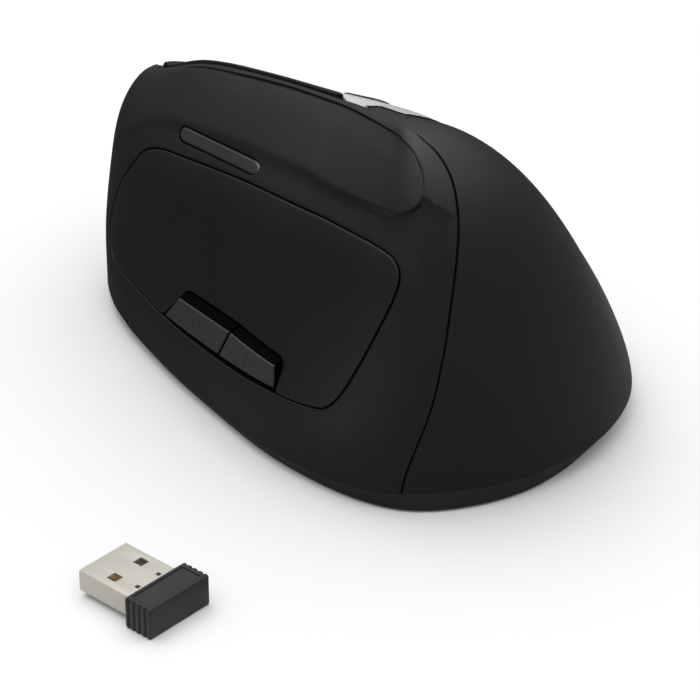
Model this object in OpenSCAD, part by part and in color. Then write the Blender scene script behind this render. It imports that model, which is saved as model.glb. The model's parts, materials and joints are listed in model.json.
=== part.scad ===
// Vertical ergonomic mouse for the right hand, with its receiver lying beside it.
// Millimetres. +X is the user's right, +Y the nose, +Z up, and z = 0 is the desk.
// The origin is the optical sensor's centre on the desk.

/* [Body] */
// Width of the body at its widest station
body_w = 79.5; // [76:0.5:84]
// Length of the body from nose to heel
body_l = 120.4; // [117:0.2:126]
// Height of the hump above the desk
body_h = 69; // [66:0.5:73]
// Height of the base rim at the heel
rim_h = 5; // [4.5:0.1:6]
// Thickness of the moulded shells
wall = 1.8; // [1.4:0.1:2.2]
// Gap between neighbouring fixed shells
seam_gap = 0.3; // [0.2:0.05:0.4]
// Gap round the pieces that move
key_gap = 0.45; // [0.35:0.05:0.6]

/* [Base] */
// Thickness of the glide feet
foot_t = 0.6; // [0.5:0.1:1]
// Thickness of the tray's floor
floor_t = 1.8; // [1.6:0.1:2.4]
// How far the base tucks in under the rim on the finger side
rim_tuck = 3.2; // [2.6:0.1:3.6]
// Height of the lip that the shells clip on to
lip_h = 1.2; // [0.8:0.1:2]
// Thickness of that lip
lip_t = 1.4; // [1:0.1:2]
// Outer radius of the glide ring round the sensor
ring_r = 12; // [10:0.5:14]
// Width of the glide ring
ring_w = 3; // [2:0.5:4]
// Width of the crescent glide feet
foot_w = 6; // [4:0.5:8]

/* [Thumb side] */
// Thickness of the thumb inlay
pad_t = 1.6; // [1.2:0.1:2]
// How far the side buttons' upper edges stand proud
key_proud = 1.7; // [1:0.1:2]
// Depth of the side buttons below the skin
key_depth = 3; // [2.5:0.1:4]
// Travel of the side buttons
key_travel = 0.6; // [0.4:0.1:0.8]
// Half height of the indicator lens, seen from the side
lens_r = 1.25; // [1:0.05:1.6]
// How far the lens is drawn out at its rounded ends, in half heights
lens_stretch = 1.9; // [1:0.1:2.5]

/* [Wheel] */
// Radius of the scroll wheel
wheel_r = 11.5; // [11:0.1:12]
// Width of the scroll wheel
wheel_w = 7; // [6:0.2:7.6]
// How far the wheel stands proud of the trim
wheel_proud = 3.5; // [3:0.1:4]
// Radius of the wheel's axle
axle_r = 1.25; // [1:0.05:1.5]
// Travel of the wheel when it is pressed
wheel_travel = 0.5; // [0.3:0.1:0.6]
// Number of grip ribs round the tyre
tyre_ribs = 36; // [24:2:48]

/* [Main buttons] */
// Radius of the hinge pins
pin_r = 1.2; // [1:0.05:1.4]
// Radial running clearance of the pins and the axle
run_gap = 0.06; // [0.03:0.01:0.09]
// Depth of the hinge pins below the finger slope
pivot_depth = 8.5; // [8:0.1:9]
// Depth of the finger board's top face below the finger slope
board_depth = 17.4; // [17:0.1:18]
// Thickness of the circuit boards
board_t = 1.2; // [1:0.1:1.6]
// Thickness of the levers under the main buttons
lever_t = 1.8; // [1.4:0.1:2]

/* [Speed button] */
// Length of the speed button
dpi_l = 11; // [10:0.5:13]
// Width of the speed button
dpi_w = 4.4; // [3.6:0.2:5]
// How far it stands proud of the trim
dpi_proud = 0.7; // [0.6:0.1:1.4]
// Travel of the speed button
dpi_travel = 0.5; // [0.3:0.1:0.6]

/* [Power] */
// Diameter of an AAA cell
cell_d = 10.5; // [10:0.1:10.5]
// Length of an AAA cell over its nub
cell_l = 44.5; // [43.5:0.1:44.5]
// Distance between the two cells' axes
cell_pitch = 11.2; // [11:0.1:12]
// Centre of the battery bay, across
bay_x = -3; // [-5:0.5:-2]
// Distance of the battery bay's centre from the heel
bay_back = 29.2; // [28:0.2:30]
// Travel of the power switch
switch_travel = 3; // [2:0.5:3.5]

/* [Receiver] */
// Place of the receiver's collar on the desk, across
receiver_x = -86.5; // [-95:0.5:-75]
// Place of the receiver's collar on the desk, along
receiver_y = -44.7; // [-55:0.1:-35]
// Turn of the receiver on the desk
receiver_turn = 8.1; // [0:0.1:20]
// Width of the plug, a standard size
plug_w = 12; // [12:0.1:12.1]
// Height of the plug, a standard size
plug_h = 4.5; // [4.5:0.1:4.6]
// Length of the plug that shows
plug_l = 12.9; // [11:0.1:13.5]
// Width of the receiver's cap
cap_w = 15; // [14:0.1:16]
// Height of the receiver's cap
cap_h = 6.4; // [6:0.1:7]
// Depth of the receiver's cap
cap_l = 6.2; // [5.5:0.1:8]

/* [Hidden] */
$fn = 48;
half_w = body_w / 2;
half_l = body_l / 2;
floor_z = foot_t + floor_t;
bay_y = bay_back - half_l;
skin_black = [0.13, 0.13, 0.15];
board_green = [0.05, 0.25, 0.12];
part_black = [0.08, 0.08, 0.08];

// Stations round the rim, from the nose over the thumb side: place across and along as shares
// of half the body, station on the crest, fullness of the profile, share of the thumb profile,
// rim height as a share of the heel's, and share of the base's tuck under the rim.
STATIONS = [
    [ 0.050,  1.000, 0.00, 2.25, 0.00, 0.70, 0.45],
    [-0.481,  0.962, 0.00, 2.80, 0.20, 0.68, 0.45],
    [-0.765,  0.731, 0.08, 3.36, 0.75, 0.67, 0.40],
    [-0.913,  0.369, 0.30, 3.28, 1.00, 0.63, 0.37],
    [-0.995,  0.003, 0.55, 3.36, 1.00, 0.61, 0.35],
    [-1.036, -0.365, 0.80, 3.20, 1.00, 0.65, 0.37],
    [-0.945, -0.705, 0.97, 3.00, 0.70, 0.81, 0.28],
    [-0.707, -0.890, 1.00, 3.00, 0.10, 0.92, 0.00],
    [-0.276, -1.005, 1.00, 2.63, 0.00, 0.97, 0.37],
    [ 0.226, -0.983, 1.00, 2.04, 0.00, 0.99, 1.00],
    [ 0.670, -0.808, 0.99, 1.41, 0.00, 1.01, 1.05],
    [ 0.950, -0.476, 0.86, 1.40, 0.00, 1.00, 1.00],
    [ 1.020, -0.066, 0.62, 1.20, 0.00, 1.00, 0.95],
    [ 0.956,  0.365, 0.36, 1.20, 0.00, 1.00, 0.95],
    [ 0.780,  0.700, 0.14, 1.35, 0.00, 0.92, 0.80],
    [ 0.453,  0.920, 0.02, 1.80, 0.00, 0.80, 0.60],
];
// The crest from its front end to the hump: shares of half the width and length, and of the height
CREST = [
    [-0.322,  0.806, 0.706],
    [-0.377,  0.515, 0.832],
    [-0.402,  0.150, 0.912],
    [-0.425, -0.216, 0.969],
    [-0.427, -0.515, 1.004],
];
// Thumb side profile from rim to crest: share of the reach left, and share of the height
THUMB_SIDE = [[1, 0], [0.995, 0.15], [0.84, 0.455], [0.71, 0.686], [0.507, 0.827], [0.152, 0.964], [0, 1]];

// Borders of the shells as [station round the rim, station up the side]
FRONT_SEAM_U = 0.03;
SEAM = [[0.4095, 0], [0.4305, 0.095], [0.441, 0.20], [0.447, 0.30], [0.4545, 0.43], [0.4605, 0.55],
        [0.4643, 0.69], [0.4617, 0.80], [0.453, 0.868], [0.4365, 0.925], [0.385, 0.95], [0.327, 0.968]];
TRIM_UPPER = [[1.03, 0.60], [1.0, 0.61], [0.95, 0.63], [0.90, 0.655], [0.86, 0.665], [0.82, 0.655],
              [0.785, 0.675], [0.763, 0.745], [0.748, 0.86], [0.727, 0.92], [0.70, 0.985]];
TRIM_LOWER = [[1.03, 0.53], [1.0, 0.54], [0.95, 0.54], [0.90, 0.515], [0.86, 0.505], [0.82, 0.515],
              [0.775, 0.535], [0.742, 0.555], [0.715, 0.60], [0.692, 0.67], [0.670, 0.78],
              [0.650, 0.88], [0.645, 0.945], [0.68, 0.985]];
// Share of the lower trim border that the middle button takes, and of the upper one that the index takes
MIDDLE_SHARE = 7 / 13;
INDEX_SHARE = 9 / 10;
PALM_SIDE = [[0.715, 0], [0.72, 0.15], [0.727, 0.3], [0.737, 0.45], [0.742, 0.555]];
NOSE_U = 1.03;
SKIRT_T = 0.30;
CREST_T = 0.985;
INDEX_FRONT_U = 1.012;
INDEX_FRONT_T = 0.92;
INDEX_EASE = 0.25;
INDEX_TOP_T = 0.975;
INDEX_REAR_U = 0.716;
// Outline of the thumb inlay, and corners of the side button window
PAD = [[0.1165, 0.195], [0.1161, 0.256], [0.1275, 0.36], [0.1447, 0.46], [0.1547, 0.519], [0.173, 0.552],
       [0.2013, 0.561], [0.241, 0.569], [0.283, 0.572], [0.3243, 0.565], [0.3577, 0.536], [0.3807, 0.504],
       [0.397, 0.468], [0.405, 0.418], [0.40, 0.371], [0.3877, 0.321], [0.3717, 0.26], [0.3597, 0.215],
       [0.3483, 0.189], [0.3323, 0.190], [0.3093, 0.195], [0.2727, 0.188], [0.2297, 0.186], [0.1827, 0.188],
       [0.150, 0.180], [0.1275, 0.171]];
KEY_FRONT = [[0.2017, 0.195], [0.223, 0.263]];
KEY_SPLIT = [[0.2587, 0.198], [0.274, 0.264]];
KEY_REAR = [[0.3103, 0.205], [0.314, 0.253]];
LENS_ENDS = [[0.1915, 0.6415], [0.2593, 0.6259]];
FINGER_AT = [0.8125, 0.50];
WHEEL_AT = [0.855, 0.585];
DPI_AT = [0.731, 0.797];
THUMB_AT = [0.2605, 0.225];

function spline4(a, b, c, d, f) =
    0.5 * (2 * b + (c - a) * f + (2 * a - 5 * b + 4 * c - d) * f * f + (3 * b - a - 3 * c + d) * f * f * f);
function ring_at(p, x) =
    let (n = len(p), k = (x - floor(x)) * n, i = floor(k))
    spline4(p[(i + n - 1) % n], p[i % n], p[(i + 1) % n], p[(i + 2) % n], k - i);
function curve_at(p, x) =
    let (n = len(p), k = min(max(x, 0), 1) * (n - 1), i = min(floor(k), n - 2),
         before = i > 0 ? p[i - 1] : 2 * p[0] - p[1],
         after = i < n - 2 ? p[i + 2] : 2 * p[n - 1] - p[n - 2])
    spline4(before, p[i], p[i + 1], after, k - i);
function mix(a, b, f) = a * (1 - f) + b * f;
function even(n) = [for (i = [0 : n]) i / n];

// The skin: the outer face of the body at station u round the rim and t up the side
function rim_xy(s) = [s[0] * half_w, s[1] * half_l];
function crest_xyz(s) = let (c = curve_at(CREST, s[2])) [c[0] * half_w, c[1] * half_l, c[2] * body_h];
function skin(u, t) =
    let (s = ring_at(STATIONS, u), b = rim_xy(s), c = crest_xyz(s), w = min(max(s[4], 0), 1),
         side = curve_at(THUMB_SIDE, t),
         reach = w * side[0] + (1 - w) * pow(max(cos(90 * t), 0), 2 / s[3]),
         rise = w * side[1] + (1 - w) * pow(max(sin(90 * t), 0), 2 / s[3]),
         z0 = s[5] * rim_h)
    [c[0] + (b[0] - c[0]) * reach, c[1] + (b[1] - c[1]) * reach, z0 + (c[2] - z0) * rise];
function inward(u, t) =
    let (s = ring_at(STATIONS, u), b = rim_xy(s), c = crest_xyz(s), d = [c[0] - b[0], c[1] - b[1]])
    [d[0] / norm(d) * cos(90 * t), d[1] / norm(d) * cos(90 * t), -sin(90 * t)];
function below(q, depth, along = undef) =
    skin(q[0], q[1]) + depth * (is_undef(along) ? inward(q[0], q[1]) : along);
function skin_normal(q) =
    let (e = 0.004,
         n = cross(skin(q[0] + e, q[1]) - skin(q[0] - e, q[1]), skin(q[0], q[1] + e) - skin(q[0], q[1] - e)))
    n / norm(n);

// A frame on the skin: local z is the outward normal and local y runs to the nose
function frame_at(q) = let (n = skin_normal(q)) [skin(q[0], q[1]), atan2(n[0], n[2]), -asin(n[1])];
module on_frame(f) { translate(f[0]) rotate([0, f[1], 0]) rotate([f[2], 0, 0]) children(); }
function to_frame(f, p) =
    let (v = p - f[0],
         a = [v[0] * cos(f[1]) - v[2] * sin(f[1]), v[1], v[0] * sin(f[1]) + v[2] * cos(f[1])])
    [a[0], a[1] * cos(f[2]) + a[2] * sin(f[2]), a[2] * cos(f[2]) - a[1] * sin(f[2])];
function from_frame(f, p) =
    let (a = [p[0], p[1] * cos(f[2]) - p[2] * sin(f[2]), p[1] * sin(f[2]) + p[2] * cos(f[2])])
    f[0] + [a[0] * cos(f[1]) + a[2] * sin(f[1]), a[1], a[2] * cos(f[1]) - a[0] * sin(f[1])];
finger = frame_at(FINGER_AT);
speed = frame_at(DPI_AT);
thumb = frame_at(THUMB_AT);

// A shell moulded along the skin between two borders, which run from b = 0 to b = 1.
// proud(a, b) is the height of the outer face over the skin, and depth that of the inner face under it.
// side_gaps and end_gaps draw the shell back from its borders. A zipped shell closes over its far end.
// along is the direction of the depth where it is one for the whole shell.
function path_len(low, high) =
    let (p = [for (k = [0 : 8]) let (q = mix(low(k / 8), high(k / 8), 0.5)) skin(q[0], q[1])])
    [for (k = 0, s = 0; k <= 8; k = k + 1, s = s + (k <= 8 ? norm(p[k] - p[k - 1]) : 0)) s][8];
function shell_rows(low, high, as, bs, side_gaps, end_gaps) =
    let (run = path_len(low, high), b0 = end_gaps[0] / run, b1 = 1 - end_gaps[1] / run)
    [for (f = bs)
        let (b = mix(b0, b1, f), l = low(b), h = high(b),
             span = norm(skin(l[0], l[1]) - skin(h[0], h[1])))
        [for (a = as) mix(l, h, mix(side_gaps[0] / span, 1 - side_gaps[1] / span, a))]];
function quad(p, q, r, s) = [[p, q, r], [p, r, s]];
module shell(low, high, as, bs, depth, proud = function (a, b) 0, side_gaps = [0, 0], end_gaps = [0, 0],
             zip = false, along = undef) {
    rows = shell_rows(low, high, as, bs, side_gaps, end_gaps);
    na = len(as) - 1;
    nb = len(bs) - 1;
    outer = [for (j = [0 : nb], i = [0 : na]) below(rows[j][i], -proud(as[i], bs[j]), along)];
    inner = [for (j = [0 : nb], i = [0 : na]) below(rows[j][i], depth, along)];
    o = function (i, j) j * (na + 1) + i;
    n = function (i, j) (na + 1) * (nb + 1) + j * (na + 1) + i;
    far_end = zip
        ? concat([for (i = [0 : na / 2 - 1]) each quad(o(i + 1, nb), o(i, nb), o(na - i, nb), o(na - i - 1, nb))],
                 [for (i = [0 : na / 2 - 1]) each quad(n(na - i - 1, nb), n(na - i, nb), n(i, nb), n(i + 1, nb))],
                 quad(o(na, nb), o(0, nb), n(0, nb), n(na, nb)))
        : [for (i = [0 : na - 1]) each quad(o(i + 1, nb), o(i, nb), n(i, nb), n(i + 1, nb))];
    faces = concat(
        [for (j = [0 : nb - 1], i = [0 : na - 1]) each quad(o(i, j), o(i, j + 1), o(i + 1, j + 1), o(i + 1, j))],
        [for (j = [0 : nb - 1], i = [0 : na - 1]) each quad(n(i, j), n(i + 1, j), n(i + 1, j + 1), n(i, j + 1))],
        [for (i = [0 : na - 1]) each quad(o(i, 0), o(i + 1, 0), n(i + 1, 0), n(i, 0))],
        [for (j = [0 : nb - 1]) each quad(o(0, j + 1), o(0, j), n(0, j), n(0, j + 1))],
        [for (j = [0 : nb - 1]) each quad(o(na, j), o(na, j + 1), n(na, j + 1), n(na, j))],
        far_end);
    polyhedron(concat(outer, inner), [for (f = faces) if (f[0] != f[1] && f[1] != f[2] && f[2] != f[0]) f],
               convexity = 8);
}

// Straight cutters and small shapes
module through_side() {
    translate([-half_w - 6, 0, 0])
        rotate([90, 0, 90])
            linear_extrude(half_w - 6)
                children();
}
function side_view(q) = let (p = skin(q[0], q[1])) [p[1], p[2]];
function loop(points, n) = [for (i = [0 : n - 1]) ring_at(points, i / n)];
function inset_loop(p, d) =
    let (n = len(p))
    [for (i = [0 : n - 1])
        let (t = p[(i + 1) % n] - p[(i + n - 1) % n])
        p[i] + d * [-t[1], t[0]] / norm(t)];
module capsule(a, b, r) {
    run = norm(b - a);
    translate(a)
        rotate(atan2(b[1] - a[1], b[0] - a[0])) {
            translate([0, -r]) square([run, 2 * r]);
            circle(r);
            translate([run, 0]) circle(r);
        }
}
module rounded(w, h, r) {
    square([w - 2 * r, h], center = true);
    square([w, h - 2 * r], center = true);
    for (x = [-1, 1], y = [-1, 1])
        translate([x * (w / 2 - r), y * (h / 2 - r)])
            circle(r);
}
module block(low, high) { translate(low) cube(high - low); }
module strap(points, w) {
    for (k = [0 : len(points) - 2])
        let (a = points[k], b = points[k + 1], n = [a[1] - b[1], b[0] - a[0]] / norm(b - a) * w / 2)
            polygon([a + n, a - n, b - n, b + n]);
    for (p = points)
        translate(p)
            circle(w / 2);
}

// Base tray: a shallow moulding with a drafted rim, a ledge under the shells and a lip inside them
rim_steps = 160;
function rim_in(u, d, z) =
    let (t = rim_xy(ring_at(STATIONS, u + 0.002)) - rim_xy(ring_at(STATIONS, u - 0.002)),
         b = rim_xy(ring_at(STATIONS, u)))
    [b[0] - d * t[1] / norm(t), b[1] + d * t[0] / norm(t), z];
function rim_z(u) = ring_at(STATIONS, u)[5] * rim_h;
lip_room = 0.9;
lip_in = wall + lip_room;
module tray_form() {
    rings = [
        function (u) rim_in(u, rim_tuck * ring_at(STATIONS, u)[6], foot_t),
        function (u) rim_in(u, 0, rim_z(u) - seam_gap),
        function (u) rim_in(u, lip_in, rim_z(u) - seam_gap),
        function (u) rim_in(u, lip_in, max(rim_z(u), floor_z) + lip_h),
        function (u) rim_in(u, lip_in + lip_t, max(rim_z(u), floor_z) + lip_h),
        function (u) rim_in(u, lip_in + lip_t, floor_z),
    ];
    last = len(rings) - 1;
    points = [for (ring = rings, i = [0 : rim_steps - 1]) ring(i / rim_steps)];
    id = function (k, i) k * rim_steps + i % rim_steps;
    sides = [for (k = [0 : last - 1], i = [0 : rim_steps - 1])
        each quad(id(k, i), id(k + 1, i), id(k + 1, i + 1), id(k, i + 1))];
    bottom = [[for (i = [0 : rim_steps - 1]) id(0, i)]];
    floor_face = [[for (i = [rim_steps - 1 : -1 : 0]) id(last, i)]];
    polyhedron(points, concat(sides, bottom, floor_face), convexity = 6);
}
sensor_hole = [10, 8];
bay_wall = 1.2;
contact_room = 3.2;
bay_room = 0.8;
bay_l = cell_l + 2 * contact_room;
bay_w = cell_pitch + cell_d + 1.6;
knob_l = 3.7;
knob_w = 3;
knob_x = 15;
knob_y = 20;
slip = 0.2;
screw_r = 1;
screw_head_r = 2;
head_z = foot_t + 1.05;
module base_tray() {
    color([0.2, 0.2, 0.21])
        difference() {
            tray_form();
            translate([0, 0, floor_z / 2]) cube([sensor_hole[0], sensor_hole[1], 2 * floor_z], center = true);
            translate([bay_x, bay_y, floor_z / 2]) cube([bay_l, bay_w, 2 * floor_z], center = true);
            translate([knob_x + switch_travel / 2, knob_y, floor_z / 2])
                cube([knob_l + switch_travel + 2 * slip, knob_w + 2 * slip, 2 * floor_z], center = true);
            for (p = screw_places) {
                translate([p[0], p[1], 0]) cylinder(r = screw_r + slip, h = 2 * floor_z);
                translate([p[0], p[1], -1]) cylinder(r = screw_head_r + slip, h = head_z + 1);
            }
        }
}
module sensor_ring() {
    color([0.1, 0.1, 0.1])
        linear_extrude(foot_t)
            difference() {
                circle(ring_r);
                circle(ring_r - ring_w);
            }
}
// Two crescents: one behind the nose and one before the heel
module crescent(r, turn) {
    linear_extrude(foot_t)
        intersection() {
            difference() {
                circle(r);
                circle(r - foot_w);
            }
            rotate(turn) polygon([[0, 0], [2 * r, r], [2 * r, -r]]);
        }
}
front_foot_y = 23;
rear_foot_y = -26;
module glide_feet() {
    color([0.1, 0.1, 0.1]) {
        translate([0, front_foot_y, 0]) crescent(30, 90);
        translate([0, rear_foot_y, 0]) crescent(28, -90);
    }
}

// Shells
thumb_front = function (b) [FRONT_SEAM_U, curve_at(SEAM, b)[1] / SEAM[len(SEAM) - 1][1] * CREST_T];
seam = function (b) curve_at(SEAM, b);
palm_edge = function (b)
    b < 0.5 ? curve_at(PALM_SIDE, 2 * b) : curve_at(TRIM_LOWER, mix(MIDDLE_SHARE, 1, 2 * b - 1));
trim_low = function (b) curve_at(TRIM_LOWER, b);
trim_high = function (b) curve_at(TRIM_UPPER, b);
middle_low = function (b) [mix(NOSE_U, PALM_SIDE[2][0], b), SKIRT_T];
middle_high = function (b) curve_at(TRIM_LOWER, b * MIDDLE_SHARE);
index_low = function (b) curve_at(TRIM_UPPER, b * INDEX_SHARE);
index_high = function (b)
    [mix(INDEX_FRONT_U, INDEX_REAR_U, b), mix(INDEX_FRONT_T, INDEX_TOP_T, min(1, b / INDEX_EASE))];
skirt_low = function (b) [mix(NOSE_U, PALM_SIDE[0][0], b), 0];
skirt_high = function (b) [mix(NOSE_U, PALM_SIDE[2][0], b), SKIRT_T];
half_seam = seam_gap / 2;
pad_loop = [for (q = loop(PAD, 76)) side_view(q)];
lens_ends = [for (q = LENS_ENDS) side_view(q)];
lens_way = (lens_ends[1] - lens_ends[0]) / norm(lens_ends[1] - lens_ends[0]);
lens_rise = [-lens_way[1], lens_way[0]];
// Outline of the lens, made larger by some room
lens_loop = function (room)
    [for (a = [0 : 7.5 : 352.5])
        lens_ends[cos(a) > 0.001 ? 1 : 0]
            + (lens_r * lens_stretch + room) * cos(a) * lens_way
            + (lens_r + room) * sin(a) * lens_rise];
module thumb_shell() {
    color(skin_black)
        difference() {
            shell(thumb_front, seam, even(34), even(22), wall, side_gaps = [half_seam, half_seam]);
            through_side() polygon(inset_loop(pad_loop, -half_seam));
            through_side() polygon(lens_loop(half_seam));
        }
}
window_gap = key_gap + 0.25;
pad_front = function (b) [0.09, mix(0.13, 0.62, b)];
pad_rear = function (b) [0.415, mix(0.13, 0.62, b)];
module thumb_pad() {
    corners = [KEY_FRONT[0], KEY_FRONT[1], KEY_SPLIT[1], KEY_REAR[1], KEY_REAR[0], KEY_SPLIT[0]];
    window = [for (k = [0 : 5], f = [0 : 3]) side_view(mix(corners[k], corners[(k + 1) % 6], f / 4))];
    cut = inset_loop(window, -window_gap);
    color(skin_black)
        difference() {
            intersection() {
                shell(pad_front, pad_rear, even(24), even(14), pad_t);
                through_side() polygon(inset_loop(pad_loop, half_seam));
            }
            through_side() polygon(cut);
        }
}
module palm_shell() {
    color(skin_black)
        shell(seam, palm_edge, even(28), even(22), wall, side_gaps = [half_seam, half_seam], zip = true);
}
module finger_skirt() {
    color(skin_black)
        shell(skirt_low, skirt_high, even(6), even(28), wall, side_gaps = [0, key_gap / 2],
              end_gaps = [half_seam, half_seam]);
}
wheel_at = to_frame(finger, skin(WHEEL_AT[0], WHEEL_AT[1])) + [0, 0, wheel_proud - wheel_r];
wheel_room = 0.6;
module silver_trim() {
    slot = [wheel_w / 2 + wheel_room, wheel_r + wheel_room];
    color([0.78, 0.79, 0.8])
        difference() {
            shell(trim_low, trim_high, even(4), even(30), wall, side_gaps = [half_seam, key_gap / 2],
                  end_gaps = [half_seam, half_seam]);
            on_frame(finger)
                translate(wheel_at)
                    block([-slot[0], -slot[1], 0], [slot[0], slot[1], wheel_r + 4 * wall]);
            on_frame(speed)
                translate([0, 0, -4 * wall])
                    linear_extrude(8 * wall)
                        capsule([0, -dpi_l / 2 + dpi_w / 2], [0, dpi_l / 2 - dpi_w / 2], dpi_w / 2 + key_gap);
        }
}
// Extra room at the edges towards which the two main buttons swing
nose_room = 0.8;
crest_room = 0.2;
press_room = 0.35;
module index_button() {
    color(skin_black)
        shell(index_low, index_high, even(8), even(20), wall, side_gaps = [key_gap / 2, crest_room],
              end_gaps = [nose_room, key_gap]);
}
module middle_button() {
    color(skin_black)
        shell(middle_low, middle_high, even(8), even(20), wall, side_gaps = [key_gap + press_room, key_gap],
              end_gaps = [nose_room, key_gap]);
}

// Side buttons: wedges, flush along the lower edge and proud along the upper one
key_as = [0, 0.05, 0.5, 0.95, 1];
key_bs = [0, 0.1, 0.5, 0.88, 1];
split_gap = 0.27;
key_edge = 0.15;
key_face = function (b) b == 1 ? key_edge : mix(key_edge, key_proud, b);
forward_face = function (a, b) a == 0 ? key_edge : key_face(b);
back_face = function (a, b) a == 1 ? key_edge : key_face(b);
key_front = function (b) mix(KEY_FRONT[0], KEY_FRONT[1], b);
key_split = function (b) mix(KEY_SPLIT[0], KEY_SPLIT[1], b);
key_rear = function (b) mix(KEY_REAR[0], KEY_REAR[1], b);
module forward_button() {
    color([0.2, 0.2, 0.21])
        shell(key_front, key_split, key_as, key_bs, key_depth, proud = forward_face, side_gaps = [0, split_gap],
              along = [1, 0, 0]);
}
module back_button() {
    color([0.2, 0.2, 0.21])
        shell(key_split, key_rear, key_as, key_bs, key_depth, proud = back_face, side_gaps = [split_gap, 0],
              along = [1, 0, 0]);
}
lens_front = function (b) [0.17, mix(0.57, 0.71, b)];
lens_rear = function (b) [0.275, mix(0.57, 0.71, b)];
module indicator_lens() {
    color([0.3, 0.3, 0.31])
        intersection() {
            shell(lens_front, lens_rear, even(12), even(8), wall);
            through_side() polygon(lens_loop(-half_seam));
        }
}
guide_front = function (b) [0.20, mix(0.627, 0.652, b)];
guide_rear = function (b) [0.257, mix(0.613, 0.638, b)];
module light_guide() {
    color([0.8, 0.85, 0.9, 0.6])
        shell(guide_front, guide_rear, even(8), even(2), wall + seam_gap + 2,
              proud = function (a, b) -wall - seam_gap);
}

// Finger mechanism, in the frame of the finger slope
plate_t = 2;
plate_top = -board_depth - board_t;
plate_low = plate_top - plate_t;
plate_left = -26;
plate_right = 12;
plate_rear = -32;
plate_front = 25;
board_rear = -18;
pivot_y = -23;
ear_t = 1.4;
ear_r = 2.2;
barrel_r = 2.6;
barrel_l = 5.6;
index_pivot_x = -33.5;
middle_pivot_x = 7.5;
index_path = [[index_pivot_x, pivot_y], for (q = [[0.79, 0.80], [0.865, 0.75]])
    let (p = to_frame(finger, skin(q[0], q[1]))) [p[0], p[1]]];
middle_path = [[middle_pivot_x, pivot_y], for (q = [[0.79, 0.42], [0.865, 0.42]])
    let (p = to_frame(finger, skin(q[0], q[1]))) [p[0], p[1]]];
index_posts = [[0.79, 0.80], [0.865, 0.75]];
middle_posts = [[0.79, 0.42], [0.865, 0.42]];
lever_w = 5;
post_r = 1.6;
post_bite = 0.3;
module lever(path, posts, pivot_x) {
    on_frame(finger)
        difference() {
            union() {
                translate([0, 0, -pivot_depth - lever_t / 2])
                    linear_extrude(lever_t)
                        strap(path, lever_w);
                translate([pivot_x - barrel_l / 2, pivot_y, -pivot_depth])
                    rotate([0, 90, 0])
                        cylinder(r = barrel_r, h = barrel_l);
                for (q = posts)
                    let (p = to_frame(finger, below(q, wall - post_bite)))
                        translate([p[0], p[1], -pivot_depth])
                            cylinder(r = post_r, h = p[2] + pivot_depth);
            }
            translate([pivot_x - barrel_l, pivot_y, -pivot_depth])
                rotate([0, 90, 0])
                    cylinder(r = pin_r + run_gap, h = 2 * barrel_l);
        }
}
module index_lever() { color([0.3, 0.3, 0.32]) lever(index_path, index_posts, index_pivot_x); }
module middle_lever() { color([0.3, 0.3, 0.32]) lever(middle_path, middle_posts, middle_pivot_x); }
ear_room = 0.3;
ear_in = barrel_l / 2 + ear_room;
module button_pins() {
    color([0.7, 0.7, 0.72])
        on_frame(finger)
            for (x = [index_pivot_x, middle_pivot_x])
                translate([x - ear_in - ear_t, pivot_y, -pivot_depth])
                    rotate([0, 90, 0])
                        cylinder(r = pin_r, h = 2 * (ear_in + ear_t));
}
module ears(x, low) {
    for (side = [-1, 1])
        translate([x + side * (ear_in + ear_t / 2), pivot_y, 0])
            difference() {
                union() {
                    translate([-ear_t / 2, -ear_r, low]) cube([ear_t, 2 * ear_r, -pivot_depth - low]);
                    translate([-ear_t / 2, 0, -pivot_depth]) rotate([0, 90, 0]) cylinder(r = ear_r, h = ear_t);
                }
                translate([-ear_t, 0, -pivot_depth]) rotate([0, 90, 0]) cylinder(r = pin_r, h = 2 * ear_t);
            }
}

// Wheel, its cradle and what they press
cradle_t = 1.6;
cradle_in = wheel_w / 2 + wheel_room;
cradle_out = cradle_in + cradle_t;
encoder_t = 3;
cradle_floor = wheel_at[2] - wheel_r - wheel_travel - 2;
hanger_gap = 0.3;
hanger_l = -(cradle_out + 1.2 + hanger_gap);
hanger_r = cradle_out + encoder_t + hanger_gap;
hanger_t = 1.6;
notch_l = wheel_at[0] + hanger_l;
notch_r = wheel_at[0] + hanger_r;
notch_rear = wheel_at[1] - wheel_r - 2;
wheel_switch_h = 4.3;
shelf_top = cradle_floor - cradle_t - wheel_travel - 0.7 - wheel_switch_h;
cradle_y = 6;
module on_wheel() { on_frame(finger) translate(wheel_at) children(); }
hub_r = wheel_r - 2.6;
module wheel_hub() {
    color([0.15, 0.15, 0.16])
        on_wheel()
            rotate([0, 90, 0])
                difference() {
                    rotate_extrude()
                        polygon([[axle_r, -wheel_w / 2 + 0.4], [3.2, -wheel_w / 2 + 0.4], [3.8, -1.2],
                                 [hub_r - 1.6, -1.2], [hub_r - 1.2, -wheel_w / 2 + 0.3], [hub_r, -wheel_w / 2 + 0.3],
                                 [hub_r, wheel_w / 2 - 0.3], [hub_r - 1.2, wheel_w / 2 - 0.3], [hub_r - 1.6, 1.2],
                                 [3.8, 1.2], [3.2, wheel_w / 2 - 0.4], [axle_r, wheel_w / 2 - 0.4]]);
                    for (k = [0 : 5])
                        rotate(60 * k)
                            translate([(hub_r + 2) / 2, 0, 0])
                                cylinder(r = 1.1, h = wheel_w, center = true);
                }
}
rib_bite = 0.35;
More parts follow.
